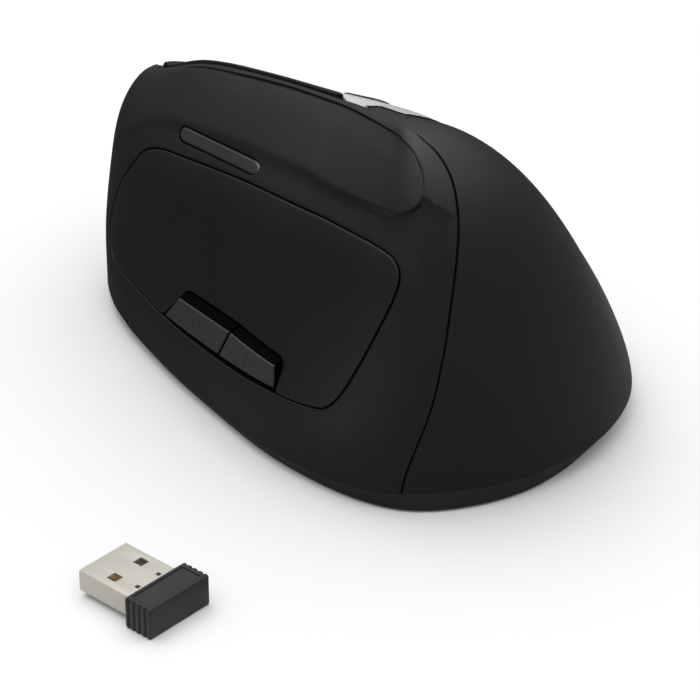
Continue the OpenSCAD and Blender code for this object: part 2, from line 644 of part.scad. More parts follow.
module wheel_tyre() {
    color([0.12, 0.12, 0.12])
        on_wheel()
            rotate([0, 90, 0])
                difference() {
                    rotate_extrude()
                        polygon([[hub_r, -wheel_w / 2], [wheel_r - 0.8, -wheel_w / 2], [wheel_r, -wheel_w / 2 + 1],
                                 [wheel_r, wheel_w / 2 - 1], [wheel_r - 0.8, wheel_w / 2], [hub_r, wheel_w / 2]]);
                    for (k = [0 : tyre_ribs - 1])
                        rotate(360 * k / tyre_ribs)
                            translate([wheel_r + 0.2, 0, 0])
                                cube([2 * rib_bite + 0.4, 0.9, wheel_w - 2.4], center = true);
                }
}
axle_end = cradle_out + encoder_t - 0.6;
module wheel_axle() {
    color([0.75, 0.75, 0.77])
        on_wheel()
            translate([-cradle_out, 0, 0])
                rotate([0, 90, 0])
                    cylinder(r = axle_r, h = cradle_out + axle_end);
}
cradle_low = cradle_floor - cradle_t - wheel_at[2];
module wheel_cradle() {
    color([0.85, 0.85, 0.83])
        on_wheel()
            difference() {
                union() {
                    block([-cradle_out - 1.2, -cradle_y, cradle_low], [cradle_out + encoder_t, cradle_y, cradle_low + cradle_t]);
                    for (side = [-1, 1])
                        translate([side * (cradle_in + cradle_t / 2), 0, 0]) {
                            block([-cradle_t / 2, -3, cradle_low], [cradle_t / 2, 3, 0]);
                            rotate([0, 90, 0]) cylinder(r = 3, h = cradle_t, center = true);
                        }
                }
                rotate([0, 90, 0]) cylinder(r = axle_r + run_gap, h = 4 * wheel_w, center = true);
            }
}
module wheel_encoder() {
    color([0.15, 0.3, 0.25])
        on_wheel()
            difference() {
                block([cradle_out, -5, cradle_low + cradle_t], [cradle_out + encoder_t, 5, 4.5]);
                rotate([0, 90, 0]) cylinder(r = axle_r + run_gap, h = cradle_out + encoder_t + 1);
            }
}
module tact(body, h, button_r, button_h) {
    translate([0, 0, h / 2]) cube([body, body, h], center = true);
    cylinder(r = button_r, h = h + button_h);
}
module wheel_switch() {
    color(part_black)
        on_frame(finger)
            translate([wheel_at[0], wheel_at[1], shelf_top])
                tact(6, wheel_switch_h, 1.7, 0.5);
}
frame_feet_r = 3;
rib_rear_y = -31;
rib_front_y = 23.5;
rib_corners = [for (y = [rib_rear_y, rib_front_y], x = [plate_left + 3, plate_right - 2])
    from_frame(finger, [x, y, plate_low + plate_t / 2])];
screw_places = rib_corners;
module rib(a, b) {
    translate([0, a[1] + 1, 0])
        rotate([90, 0, 0])
            linear_extrude(2)
                polygon([[a[0], floor_z], [b[0], floor_z], [b[0], b[2]], [a[0], a[2]]]);
}
bracket_z = -pivot_depth - 4;
module inner_frame() {
    hang = shelf_top - plate_t;
    color([0.25, 0.25, 0.27])
        difference() {
            union() {
                on_frame(finger) {
                    difference() {
                        block([plate_left, plate_rear, plate_low], [plate_right, plate_front, plate_top]);
                        block([notch_l, notch_rear, plate_low - 1], [notch_r, plate_front + 1, plate_top + 1]);
                    }
                    for (x = [notch_l - hanger_t, notch_r])
                        block([x, wheel_at[1] - cradle_y, hang], [x + hanger_t, wheel_at[1] + cradle_y, plate_top]);
                    block([notch_l - hanger_t, wheel_at[1] - cradle_y, hang],
                          [notch_r + hanger_t, wheel_at[1] + cradle_y, shelf_top]);
                    ears(middle_pivot_x, plate_low + plate_t / 2);
                    ears(index_pivot_x, bracket_z);
                    block([plate_left, pivot_y - 3, plate_low + plate_t / 2], [plate_left + 1.6, pivot_y + 3, bracket_z + 1]);
                    block([index_pivot_x - ear_in - ear_t, pivot_y - 3, bracket_z - 1.5],
                          [plate_left + 1.6, pivot_y + 3, bracket_z]);
                }
                rib(rib_corners[0], rib_corners[1]);
                rib(rib_corners[2], rib_corners[3]);
                for (p = rib_corners)
                    translate([p[0], p[1], floor_z])
                        cylinder(r = frame_feet_r, h = 6);
            }
            for (p = screw_places)
                translate([p[0], p[1], 0])
                    cylinder(r = screw_r + run_gap, h = floor_z + 5);
        }
}
module case_screws() {
    color([0.6, 0.6, 0.62])
        for (p = screw_places)
            translate([p[0], p[1], foot_t + 0.15])
                difference() {
                    union() {
                        cylinder(r = screw_head_r, h = head_z - foot_t - 0.15);
                        cylinder(r = screw_r, h = floor_z + 4);
                    }
                    for (a = [0, 90])
                        rotate(a) cube([2.2, 0.5, 1], center = true);
                }
}
module finger_board() {
    color(board_green)
        on_frame(finger)
            difference() {
                block([plate_left, board_rear, plate_top], [plate_right, plate_front, -board_depth]);
                block([notch_l - hanger_t - slip, notch_rear, plate_top - 1],
                      [notch_r + hanger_t + slip, plate_front + 1, -board_depth + 1]);
            }
}
micro = [5.8, 12.8, 6.6];
module micro_switch(p) {
    color(part_black)
        on_frame(finger)
            translate([p[0], p[1], -board_depth]) {
                translate([0, -2, micro[2] / 2]) cube(micro, center = true);
                translate([-1, -1, micro[2]]) cube([2, 2, 0.5]);
            }
}
module index_switch() { micro_switch(index_path[2]); }
module middle_switch() { micro_switch(middle_path[2]); }

// Speed button, its switch and its post
stem_l = 2.2;
dpi_deep = 4;
dpi_switch_top = -dpi_deep - stem_l - dpi_travel - 0.2;
dpi_switch_h = 3.4;
bracket_t = 1.6;
module dpi_button() {
    color([0.1, 0.1, 0.11])
        on_frame(speed) {
            translate([0, 0, -dpi_deep])
                linear_extrude(dpi_deep + dpi_proud)
                    capsule([0, -dpi_l / 2 + dpi_w / 2], [0, dpi_l / 2 - dpi_w / 2], dpi_w / 2);
            translate([0, 0, -dpi_deep - stem_l]) cylinder(r = 1.5, h = stem_l + 1);
        }
}
module dpi_switch() {
    color(part_black)
        on_frame(speed)
            translate([0, 0, dpi_switch_top - dpi_switch_h - 0.2])
                tact(6, dpi_switch_h, 1.6, 0.2);
}
cradle_roof = floor_z + cell_d + 1.7;
post_back = 6;
module dpi_post() {
    seat = dpi_switch_top - dpi_switch_h - 0.2;
    foot = from_frame(speed, [0, -post_back, seat - bracket_t]);
    color([0.25, 0.25, 0.27])
        union() {
            on_frame(speed) block([-4, -post_back - 2.5, seat - bracket_t], [4, 4, seat]);
            block([foot[0] - 2.5, foot[1] - 2.5, cradle_roof], [foot[0] + 2.5, foot[1] + 2.5, foot[2] + 0.2]);
        }
}

// Side board behind the side buttons
side_switch_h = 3;
side_switch_top = -key_depth - key_travel - 0.3;
side_board_top = side_switch_top - 0.3 - side_switch_h;
module side_board() {
    color(board_green)
        intersection() {
            on_frame(thumb) block([-24, -19, side_board_top - board_t], [9, 17, side_board_top]);
            block([-half_w, bay_y + bay_w / 2 + bay_wall + bay_room, floor_z], [0, half_l, body_h]);
        }
}
module side_switch(y) {
    color(part_black)
        on_frame(thumb)
            translate([0, y, side_board_top])
                tact(6, side_switch_h, 1.6, 0.3);
}
module forward_switch() { side_switch(8); }
module back_switch() { side_switch(-10); }

// Main board with the sensor and the power switch
board_z = 6.4;
board_x = 21;
board_y0 = -7.5;
board_y1 = 35;
spacers = [[-18, -4.5], [18, -4.5], [-18, 31], [18, 31]];
module main_board() {
    color(board_green)
        difference() {
            block([-board_x, board_y0, board_z], [board_x, board_y1, board_z + board_t]);
            translate([0, 0, board_z]) cube([7, 6, 4 * board_t], center = true);
            for (p = spacers)
                translate([p[0], p[1], board_z - 1]) cylinder(r = 1.1, h = board_t + 2);
        }
}
module board_spacers() {
    color([0.3, 0.3, 0.32])
        for (p = spacers)
            translate([p[0], p[1], floor_z])
                difference() {
                    cylinder(r = 2.2, h = board_z - floor_z);
                    translate([0, 0, -1]) cylinder(r = 1.1, h = board_z);
                }
}
module board_parts() {
    top = board_z + board_t;
    color(part_black) {
        translate([-11, 20, top]) block([-3.5, -3.5, 0], [3.5, 3.5, 1]);
        translate([-11, 11, top]) block([-2.5, -2, 0], [2.5, 2, 0.9]);
        translate([-1, 22, top]) block([-2, -4.5, 0], [2, 4.5, 2.2]);
        for (k = [0 : 3])
            translate([-17, 4 + 3 * k, top]) block([-0.8, -0.5, 0], [0.8, 0.5, 0.6]);
        translate([15, 6, top]) cylinder(r = 2, h = 4);
        translate([15, 12, top]) cylinder(r = 2, h = 4);
    }
}
module sensor_chip() {
    color(part_black)
        translate([0, 0, board_z + board_t])
            difference() {
                block([-5, -5.5, 0], [5, 5.5, 2.4]);
                translate([0, 0, -1]) cylinder(r = 1.2, h = 2);
            }
}
module sensor_lens() {
    color([0.85, 0.9, 0.95, 0.5]) {
        block([-9, -6.5, floor_z], [9, 6.5, floor_z + 1.4]);
        translate([0, 0, foot_t + 0.5]) cylinder(r = 3, h = floor_z - foot_t + 0.5);
        translate([0, 0, floor_z + 1]) cylinder(r = 2.5, h = board_z - floor_z - 1.2);
    }
}
module power_switch() {
    color([0.6, 0.6, 0.62])
        translate([knob_x + switch_travel / 2, knob_y, 0])
            block([-4.5, -2.2, floor_z + 0.8], [4.5, 2.2, board_z]);
}
module power_knob() {
    color([0.75, 0.75, 0.75])
        translate([knob_x, knob_y, 0])
            difference() {
                block([-knob_l / 2, -knob_w / 2, foot_t + 0.3], [knob_l / 2, knob_w / 2, floor_z + 0.6]);
                for (k = [-1 : 1])
                    translate([0.9 * k, 0, foot_t + 0.3]) cube([0.4, 2 * knob_w, 0.5], center = true);
            }
}

// Battery bay
module battery_cradle() {
    top = cradle_roof - floor_z;
    color([0.22, 0.22, 0.23])
        translate([bay_x, bay_y, floor_z])
            difference() {
                block([-bay_l / 2 - bay_wall, -bay_w / 2 - bay_wall, 0], [bay_l / 2 + bay_wall, bay_w / 2 + bay_wall, top]);
                block([-bay_l / 2, -bay_w / 2, -1], [bay_l / 2, bay_w / 2, top - bay_wall]);
                for (x = [-1, 1])
                    translate([x * bay_l / 4, 0, 0]) block([-5, -bay_w, 4], [5, bay_w, 7]);
            }
}
module cell(y, turn) {
    nub_l = 1;
    color([0.15, 0.35, 0.6])
        translate([bay_x, bay_y + y, floor_z + cell_d / 2 + 0.15])
            rotate([0, 90, turn])
                rotate_extrude()
                    polygon([[0, -cell_l / 2], [cell_d / 2 - 0.5, -cell_l / 2], [cell_d / 2, -cell_l / 2 + 0.5],
                             [cell_d / 2, cell_l / 2 - nub_l - 0.5], [cell_d / 2 - 0.5, cell_l / 2 - nub_l],
                             [1.9, cell_l / 2 - nub_l], [1.9, cell_l / 2], [0, cell_l / 2]]);
}
module battery_front() { cell(cell_pitch / 2, 0); }
module battery_rear() { cell(-cell_pitch / 2, 180); }
module battery_contacts() {
    leaf = 0.4;
    color([0.8, 0.8, 0.78])
        translate([bay_x, bay_y, floor_z + cell_d / 2 + 0.15])
            for (x = [-1, 1], y = [-1, 1])
                translate([0, y * cell_pitch / 2, 0])
                    rotate([90, 0, x > 0 ? 0 : 180])
                        linear_extrude(5, center = true)
                            polygon([[bay_l / 2, -4], [bay_l / 2, 4], [bay_l / 2 - leaf, 4],
                                     [bay_l / 2 - leaf, 3], [cell_l / 2 + 0.1, 1], [cell_l / 2 + 0.1, -1],
                                     [bay_l / 2 - leaf, -3], [bay_l / 2 - leaf, -4]]);
}
door_gap = 0.25;
door_t = 1.5;
module battery_door() {
    w = bay_l - 2 * door_gap;
    l = bay_w - 2 * door_gap;
    color([0.2, 0.2, 0.21])
        translate([bay_x, bay_y, foot_t])
            difference() {
                block([-w / 2, -l / 2, 0], [w / 2, l / 2, door_t]);
                for (k = [0 : 4])
                    translate([w / 2 - 6 - 1.6 * k, 0, 0]) cube([0.7, l - 8 - k, 0.8], center = true);
            }
}

// Receiver
plug_z = (cap_h - plug_h) / 2;
plug_wall = 0.3;
module on_desk() { translate([receiver_x, receiver_y, 0]) rotate(receiver_turn) children(); }
module receiver_cap() {
    rib = 0.7;
    color(part_black)
        on_desk()
            difference() {
                translate([0, 0, cap_h / 2])
                    rotate([90, 0, 0])
                        linear_extrude(cap_l)
                            rounded(cap_w, cap_h, 0.8);
                block([-cap_w / 2 + 1.2, -cap_l + 0.7, cap_h - 0.3], [cap_w / 2 - 1.2, -0.7, cap_h + 1]);
                for (side = [-1, 1], k = [0 : 3])
                    translate([side * cap_w / 2, -1 - 1.35 * k, cap_h / 2])
                        cube([2 * rib * 0.6, rib, cap_h + 1], center = true);
            }
}
module receiver_shell() {
    color([0.75, 0.73, 0.68])
        on_desk()
            difference() {
                block([-plug_w / 2, 0, plug_z], [plug_w / 2, plug_l, plug_z + plug_h]);
                block([-plug_w / 2 + plug_wall, -1, plug_z + plug_wall],
                      [plug_w / 2 - plug_wall, plug_l + 1, plug_z + plug_h - plug_wall]);
                for (side = [-1, 1])
                    translate([side * 3.25, 6.6, cap_h / 2]) cube([2.1, 2.1, 2 * plug_h], center = true);
                for (side = [-1, 1])
                    translate([side * 2.6, 1.6, cap_h]) cube([0.9, 0.9, 4], center = true);
            }
}
tongue_top = plug_z + plug_wall + 1.85;
module receiver_tongue() {
    color([0.92, 0.92, 0.9])
        on_desk()
            block([-plug_w / 2 + plug_wall, 0, plug_z + plug_wall], [plug_w / 2 - plug_wall, plug_l - 0.5, tongue_top]);
}
module receiver_contacts() {
    color([0.85, 0.7, 0.3])
        on_desk()
            for (k = [-1.5 : 1 : 1.5])
                let (reach = abs(k) > 1 ? 1 : 2)
                    translate([2.25 * k, 0, tongue_top]) block([-0.6, 3, 0], [0.6, plug_l - reach, 0.1]);
}

base_tray();
thumb_shell();
thumb_pad();
palm_shell();
finger_skirt();
silver_trim();
index_button();
index_lever();
middle_button();
middle_lever();
button_pins();
forward_button();
back_button();
indicator_lens();
light_guide();
dpi_button();
dpi_switch();
dpi_post();
wheel_hub();
wheel_tyre();
wheel_axle();
wheel_cradle();
wheel_encoder();
wheel_switch();
inner_frame();
finger_board();
index_switch();
middle_switch();
side_board();
forward_switch();
back_switch();
main_board();
board_spacers();
board_parts();
sensor_chip();
sensor_lens();
power_switch();
power_knob();
battery_cradle();
battery_front();
battery_rear();
battery_contacts();
battery_door();
glide_feet();
sensor_ring();
case_screws();
receiver_cap();
receiver_shell();
receiver_tongue();
receiver_contacts();
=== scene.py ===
# %% [markdown]
# # A vertical mouse, dressed for its picture
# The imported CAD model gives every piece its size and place. This lesson puts a camera where
# the photographer stood, and then swaps the faceted shells for smooth ones on the same skin.
# Lengths are in millimetres until a mesh is made; meshes are in metres.

# %% Load the frame
import json
import math
import bpy
import numpy as np
from mathutils import Matrix, Vector
from mathutils.geometry import delaunay_2d_cdt
from mathutils.kdtree import KDTree


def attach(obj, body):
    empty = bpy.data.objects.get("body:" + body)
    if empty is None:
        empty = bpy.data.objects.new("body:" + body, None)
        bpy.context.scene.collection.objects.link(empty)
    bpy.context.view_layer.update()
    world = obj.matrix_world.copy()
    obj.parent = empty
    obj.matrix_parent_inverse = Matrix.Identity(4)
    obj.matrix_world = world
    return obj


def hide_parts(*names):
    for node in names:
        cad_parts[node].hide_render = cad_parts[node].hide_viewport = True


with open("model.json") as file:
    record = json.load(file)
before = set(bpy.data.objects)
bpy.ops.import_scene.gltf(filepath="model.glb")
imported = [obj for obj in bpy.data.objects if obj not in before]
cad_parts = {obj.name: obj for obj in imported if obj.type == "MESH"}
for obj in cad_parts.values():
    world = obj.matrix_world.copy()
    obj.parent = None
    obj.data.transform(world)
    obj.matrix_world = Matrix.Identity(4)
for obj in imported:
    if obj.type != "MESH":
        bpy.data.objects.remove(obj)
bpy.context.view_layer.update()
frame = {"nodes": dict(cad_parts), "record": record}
scene = bpy.context.scene
MM = 0.001

# %% [markdown]
# ## Camera and light
# The receiver's plug has a standard size, so the camera's place follows from it once a focal
# length is chosen. The sky is bright overhead and dim near the horizon, and one wide lamp hangs
# high beyond the mouse. That is why the faces turned to us look black while the ridge catches
# light.

# %% Camera
EYE = (-0.3576, -0.4212, 0.3275)
LOOK = Vector((0.5529, 0.6589, -0.5100))
FOCAL_PX, PICTURE_PX, SENSOR = 3200, 700, 36.0
camera = bpy.data.objects.new("camera", bpy.data.cameras.new("camera"))
camera.location = EYE
camera.rotation_euler = LOOK.to_track_quat("-Z", "Y").to_euler()
camera.data.sensor_width = SENSOR
camera.data.lens = SENSOR * FOCAL_PX / PICTURE_PX
scene.collection.objects.link(camera)
scene.camera = camera
scene.view_settings.view_transform = "Standard"
print("camera: lens", round(camera.data.lens, 1), "mm")


# %% A small class for node maths
class Socket:
    """A node's output. Arithmetic on it adds Math nodes to the same tree."""

    def __init__(self, tree, out=None):
        self.tree, self.out = tree, out

    def make(self, kind, inputs=None, output=0, **settings):
        node = self.tree.nodes.new(kind)
        for key, value in settings.items():
            setattr(node, key, value)
        for key, value in (inputs or {}).items():
            if isinstance(value, Socket):
                self.tree.links.new(value.out, node.inputs[key])
            else:
                node.inputs[key].default_value = value
        return Socket(self.tree, node.outputs[output])

    def math(self, operation, other=0.0):
        return self.make("ShaderNodeMath", {0: self, 1: other}, operation=operation)

    def __add__(self, other):
        return self.math("ADD", other)

    def __mul__(self, other):
        return self.math("MULTIPLY", other)

    def ramp(self, low, high, to_low=0.0, to_high=1.0):
        return self.make("ShaderNodeMapRange", {0: self, 1: low, 2: high, 3: to_low, 4: to_high},
                         interpolation_type="SMOOTHSTEP")

    def tint(self, low, high):
        inputs = {0: self, 6: (*low, 1), 7: (*high, 1)}
        return self.make("ShaderNodeMix", inputs, output=2, data_type="RGBA")


# %% Sky and lamp
SKY_DIM, SKY_BRIGHT, SKY_STRENGTH = 0.16, 1.65, 0.95
SKY_FROM, SKY_TO = 0.2, 0.95
REAR_WAY, REAR_FROM, REAR_SHARE = (0.6, -0.8, 0), -0.3, 0.08
LAMP_AT, LAMP_SIZE, LAMP_POWER = Vector((-0.05, 0.40, 1.30)), 1.0, 4.0
world = bpy.data.worlds.new("studio")
scene.world = world
world.use_nodes = True
world.node_tree.nodes.clear()
sky = Socket(world.node_tree)
way = sky.make("ShaderNodeTexCoord", output="Generated")
up = sky.make("ShaderNodeSeparateXYZ", {0: way}, output="Z")
behind = sky.make("ShaderNodeVectorMath", {0: way, 1: REAR_WAY}, output="Value", operation="DOT_PRODUCT")
amount = up.ramp(SKY_FROM, SKY_TO) + behind.ramp(REAR_FROM, 1.0) * REAR_SHARE
colour = amount.tint([SKY_DIM] * 3, [SKY_BRIGHT] * 3)
glow = sky.make("ShaderNodeBackground", {"Color": colour, "Strength": SKY_STRENGTH})
world_out = world.node_tree.nodes.new("ShaderNodeOutputWorld")
world.node_tree.links.new(glow.out, world_out.inputs["Surface"])
lamp = bpy.data.lights.new("overhead", "AREA")
lamp.shape, lamp.size, lamp.energy = "DISK", LAMP_SIZE, LAMP_POWER
light = bpy.data.objects.new("overhead", lamp)
light.location = LAMP_AT
light.rotation_euler = (-LAMP_AT).to_track_quat("-Z", "Y").to_euler()
scene.collection.objects.link(light)
print("light: sky and lamp", light.name)


# %% [markdown]
# ## Materials
# Every material of the mouse is one Principled shader. Noise moves the colour and the roughness a
# little, and a bump gives the soft-touch coat its grain.

# %% One maker for all materials
BROAD_SCALE, GRAIN_SCALE, GRAIN_DEPTH, ROUGH_SPREAD = 60.0, 1500.0, 0.0001, 0.04


def material(name, colour, rough, metal=0.0, spec=0.5, spread=0.06, grain=0.0):
    made = bpy.data.materials.new(name)
    made.use_nodes = True
    tree = made.node_tree
    shader = tree.nodes["Principled BSDF"]
    pen = Socket(tree)
    where = pen.make("ShaderNodeTexCoord", output="Object")
    broad = pen.make("ShaderNodeTexNoise", {"Vector": where, "Scale": BROAD_SCALE, "Detail": 2.0})
    fine = pen.make("ShaderNodeTexNoise", {"Vector": where, "Scale": GRAIN_SCALE, "Detail": 2.0})
    shade = broad * 0.6 + fine * 0.4
    low = [c * (1 - spread) for c in colour]
    high = [min(c * (1 + spread), 1) for c in colour]
    tree.links.new(shade.ramp(0.3, 0.7).tint(low, high).out, shader.inputs["Base Color"])
    roughness = shade.ramp(0.3, 0.7, rough - ROUGH_SPREAD, rough + ROUGH_SPREAD)
    tree.links.new(roughness.out, shader.inputs["Roughness"])
    shader.inputs["Metallic"].default_value = metal
    shader.inputs["Specular IOR Level"].default_value = spec
    if grain:
        bump = pen.make("ShaderNodeBump", {"Height": fine, "Strength": grain, "Distance": GRAIN_DEPTH})
        tree.links.new(bump.out, shader.inputs["Normal"])
    return made


# %% The palette
FINISHES = {
    "soft_black": dict(colour=(0.0088, 0.0092, 0.0124), rough=0.45, spec=0.38, grain=0.2),
    "base_grey": dict(colour=(0.022, 0.022, 0.023), rough=0.42, spec=0.4, grain=0.15),
    "key_grey": dict(colour=(0.052, 0.052, 0.0545), rough=0.38, spec=0.2, grain=0.1),
    "silver": dict(colour=(0.9, 0.91, 0.9), rough=0.34, metal=0.5, grain=0.05, spread=0.02),
    "gloss_black": dict(colour=(0.006, 0.006, 0.007), rough=0.16),
    "smoked_lens": dict(colour=(0.034, 0.034, 0.0365), rough=0.22),
    "clear_plastic": dict(colour=(0.75, 0.8, 0.84), rough=0.12),
    "rubber": dict(colour=(0.01, 0.01, 0.01), rough=0.68, grain=0.3),
    "steel": dict(colour=(0.55, 0.55, 0.56), rough=0.32, metal=1),
    "nickel": dict(colour=(0.5, 0.485, 0.425), rough=0.36, metal=0.1, grain=0.04, spread=0.04),
    "white_plastic": dict(colour=(0.72, 0.72, 0.69), rough=0.45),
    "cell_wrap": dict(colour=(0.015, 0.07, 0.24), rough=0.25),
    "glide_black": dict(colour=(0.012, 0.012, 0.012), rough=0.3),
    "satin_black": dict(colour=(0.031, 0.031, 0.034), rough=0.42, spec=0.18, grain=0.12),
    "gold": dict(colour=(0.78, 0.56, 0.22), rough=0.25, metal=1),
    "board_green": dict(colour=(0.008, 0.07, 0.025), rough=0.3),
    "inner_grey": dict(colour=(0.03, 0.03, 0.032), rough=0.5),
    "switch_black": dict(colour=(0.01, 0.01, 0.01), rough=0.35),
}
PALETTE = {name: material(name, **finish) for name, finish in FINISHES.items()}
# Painted shade: a near-black with almost no gloss for the side buttons' walls and the trim's edge along the
# palm shell, standing in for the shadow in their gaps.
PAINTED_SHADE = material("painted_shade_black", (0.001, 0.001, 0.0012), 0.6, spec=0.02)
# Painted highlight: the lens's rolled edge is lighter than the lens, standing in for the light it catches;
# its strong gloss is real.
LENS_EDGE_HIGHLIGHT = material("lens_edge_highlight", (0.05, 0.05, 0.052), 0.2, spec=0.9)
node_slot = {p["node"]: p["material_slot"] for p in frame["record"]["subparts"]}
for name, obj in frame["nodes"].items():
    obj.data.materials.clear()
    obj.data.materials.append(PALETTE[node_slot[name]])
print("materials:", len(PALETTE) + 2, "and the paper")

# %% [markdown]
# ## Floor
# White paper throws back so much light that the thumb side would turn grey. So only the camera
# sees the paper, and all other rays meet a dimmer card. It is darkest before the nose and
# brightest beside the receiver's plug.

# %% Paper
PAPER = material("paper", (0.82, 0.82, 0.82), 0.85, spec=0.1, spread=0.003)
CARD_NOSE, CARD_REAR, CARD_PLUG = 0.07, 0.24, 0.6
NOSE_FROM, NOSE_TO = -0.02, 0.08
PLUG_SPOT, SPOT_EDGE, SPOT_CORE = (-0.100, -0.036, 0), 0.045, 0.015


def dim_bounce(made):
    """Leaves a material to the camera, and gives all other rays the card."""
    tree = made.node_tree
    pen = Socket(tree)
    seen = pen.make("ShaderNodeLightPath", output="Is Camera Ray")
    place = pen.make("ShaderNodeTexCoord", output="Object")
    along = pen.make("ShaderNodeSeparateXYZ", {0: place}, output="Y")
    near = pen.make("ShaderNodeVectorMath", {0: place, 1: PLUG_SPOT}, output="Value", operation="DISTANCE")
    share = along.ramp(NOSE_FROM, NOSE_TO, CARD_REAR, CARD_NOSE) + near.ramp(SPOT_EDGE, SPOT_CORE) * CARD_PLUG
    inputs = {"Base Color": share.tint((0, 0, 0), (1, 1, 1)), "Roughness": 1.0, "Specular IOR Level": 0.0}
    card = pen.make("ShaderNodeBsdfPrincipled", inputs)
    lit = Socket(tree, tree.nodes["Principled BSDF"].outputs[0])
    mixed = pen.make("ShaderNodeMixShader", {0: seen, 1: card, 2: lit})
    tree.links.new(mixed.out, tree.nodes["Material Output"].inputs["Surface"])


dim_bounce(PAPER)
bpy.ops.mesh.primitive_plane_add(size=8.0, location=(0, 0, 0))
floor = bpy.context.object
floor.name = "paper_floor"
floor.data.materials.append(PAPER)
print("floor:", floor.name)

# %% [markdown]
# ## The skin
# The whole body is one moulded surface. u runs round the rim from the nose over the thumb side,
# and t runs up from the rim to the crest. Each station round the rim says how far out and how
# full the profile is. The thumb side has a profile of its own.

# %% Stations, crest and profile
HALF_W, HALF_L, BODY_H, RIM_H = 39.75, 60.2, 69.0, 5.0
WALL, SEAM_GAP, KEY_GAP = 1.8, 0.3, 0.45
STATIONS = np.array([
    [0.05, 1, 0, 2.25, 0, 0.7], [-0.481, 0.962, 0, 2.8, 0.2, 0.68],
    [-0.765, 0.731, 0.08, 3.36, 0.75, 0.67], [-0.913, 0.369, 0.3, 3.28, 1, 0.63],
    [-0.995, 0.003, 0.55, 3.36, 1, 0.61], [-1.036, -0.365, 0.8, 3.2, 1, 0.65],
    [-0.945, -0.705, 0.97, 3, 0.7, 0.81], [-0.707, -0.89, 1, 3, 0.1, 0.92],
    [-0.276, -1.005, 1, 2.63, 0, 0.97], [0.226, -0.983, 1, 2.04, 0, 0.99],
    [0.67, -0.808, 0.99, 1.41, 0, 1.01], [0.95, -0.476, 0.86, 1.4, 0, 1],
    [1.02, -0.066, 0.62, 1.2, 0, 1], [0.956, 0.365, 0.36, 1.2, 0, 1],
    [0.78, 0.7, 0.14, 1.35, 0, 0.92], [0.453, 0.92, 0.02, 1.8, 0, 0.8]])
CREST = np.array([[-0.322, 0.806, 0.706], [-0.377, 0.515, 0.832], [-0.402, 0.15, 0.912],
                  [-0.425, -0.216, 0.969], [-0.427, -0.515, 1.004]]) * (HALF_W, HALF_L, BODY_H)
THUMB_SIDE = np.array([[1, 0], [0.995, 0.15], [0.84, 0.455], [0.71, 0.686], [0.507, 0.827],
                       [0.152, 0.964], [0, 1]])


# %% Curves and the skin itself
def spline4(a, b, c, d, f):
    return 0.5 * (2 * b + (c - a) * f + (2 * a - 5 * b + 4 * c - d) * f**2 + (3 * b - a - 3 * c + d) * f**3)


def ring_at(points, x):
    n = len(points)
    k = (np.asarray(x, float) % 1.0) * n
    i = np.floor(k).astype(int)
    a, b, c, d = (points[(i + step) % n] for step in (-1, 0, 1, 2))
    return spline4(a, b, c, d, (k - i)[..., None])


def curve_at(points, x):
    points = np.asarray(points, float)
    n = len(points)
    ends = np.vstack([2 * points[0] - points[1], points, 2 * points[-1] - points[-2]])
    k = np.clip(np.asarray(x, float), 0, 1) * (n - 1)
    i = np.minimum(np.floor(k).astype(int), n - 2)
    return spline4(ends[i], ends[i + 1], ends[i + 2], ends[i + 3], (k - i)[..., None])


def unit(v):
    return v / np.maximum(np.linalg.norm(v, axis=-1, keepdims=True), 1e-12)


def rim_and_crest(u):
    s = ring_at(STATIONS, u)
    return s, s[..., :2] * (HALF_W, HALF_L), curve_at(CREST, s[..., 2])


def skin(q):
    u, t = q[..., 0], np.clip(q[..., 1], 0, 1)
    s, rim, crest = rim_and_crest(u)
    w = np.clip(s[..., 4], 0, 1)
    side = curve_at(THUMB_SIDE, t)
    a, e = t * math.pi / 2, 2 / s[..., 3]
    reach = w * side[..., 0] + (1 - w) * np.maximum(np.cos(a), 0) ** e
    rise = w * side[..., 1] + (1 - w) * np.maximum(np.sin(a), 0) ** e
    low = s[..., 5] * RIM_H
    xy = crest[..., :2] + (rim - crest[..., :2]) * reach[..., None]
    return np.concatenate([xy, (low + (crest[..., 2] - low) * rise)[..., None]], -1)


def inward(q):
    _, rim, crest = rim_and_crest(q[..., 0])
    a = np.clip(q[..., 1], 0, 1) * math.pi / 2
    level = unit(crest[..., :2] - rim) * np.cos(a)[..., None]
    return np.concatenate([level, -np.sin(a)[..., None]], -1)


def slopes(q, step=0.002):
    du, dt = np.array([step, 0]), np.array([0, step])
    q = np.stack([q[..., 0], np.clip(q[..., 1], step, 1 - step)], -1)
    return (skin(q + du) - skin(q - du)) / (2 * step), (skin(q + dt) - skin(q - dt)) / (2 * step)


def normal(q):
    return unit(np.cross(*slopes(q)))


def mix(a, b, f):
    return np.asarray(a, float) * (1 - f) + np.asarray(b, float) * f


def smooth(x, low, high):
    f = np.clip((x - low) / (high - low), 0, 1)
    return f * f * (3 - 2 * f)


print("skin: crest", skin(np.array([0.4375, 1.0])).round(1), "nose", skin(np.array([0.0, 0.0])).round(1))


# %% Moving about on the skin
SETTLE_STEPS, SETTLE_BY = 14, 1e-4


def solve2(a, b, c, d, x, y):
    """Solves a * p + b * q = x and c * p + d * q = y."""
    det = a * d - b * c
    return np.stack([(x * d - y * b) / det, (a * y - c * x) / det], -1)


def step_on(q, move):
    """Station change that moves a point of the skin by a small vector along it."""
    du, dt = slopes(q)
    a, b, c = (du * du).sum(-1), (du * dt).sum(-1), (dt * dt).sum(-1)
    return solve2(a, b, b, c, (du * move).sum(-1), (dt * move).sum(-1))


def settle(measure, target, start):
    """Stations where a two-number measure of the skin takes its target value."""
    q = np.array(np.broadcast_to(start, target.shape), float)
    for _ in range(SETTLE_STEPS):
        m = measure(q)
        ju, jt = ((measure(q + by) - m) / SETTLE_BY for by in np.eye(2) * SETTLE_BY)
        r = target - m
        q = q + solve2(ju[..., 0], jt[..., 0], ju[..., 1], jt[..., 1], r[..., 0], r[..., 1])
    return q


def side_view(q):
    return skin(q)[..., 1:3]


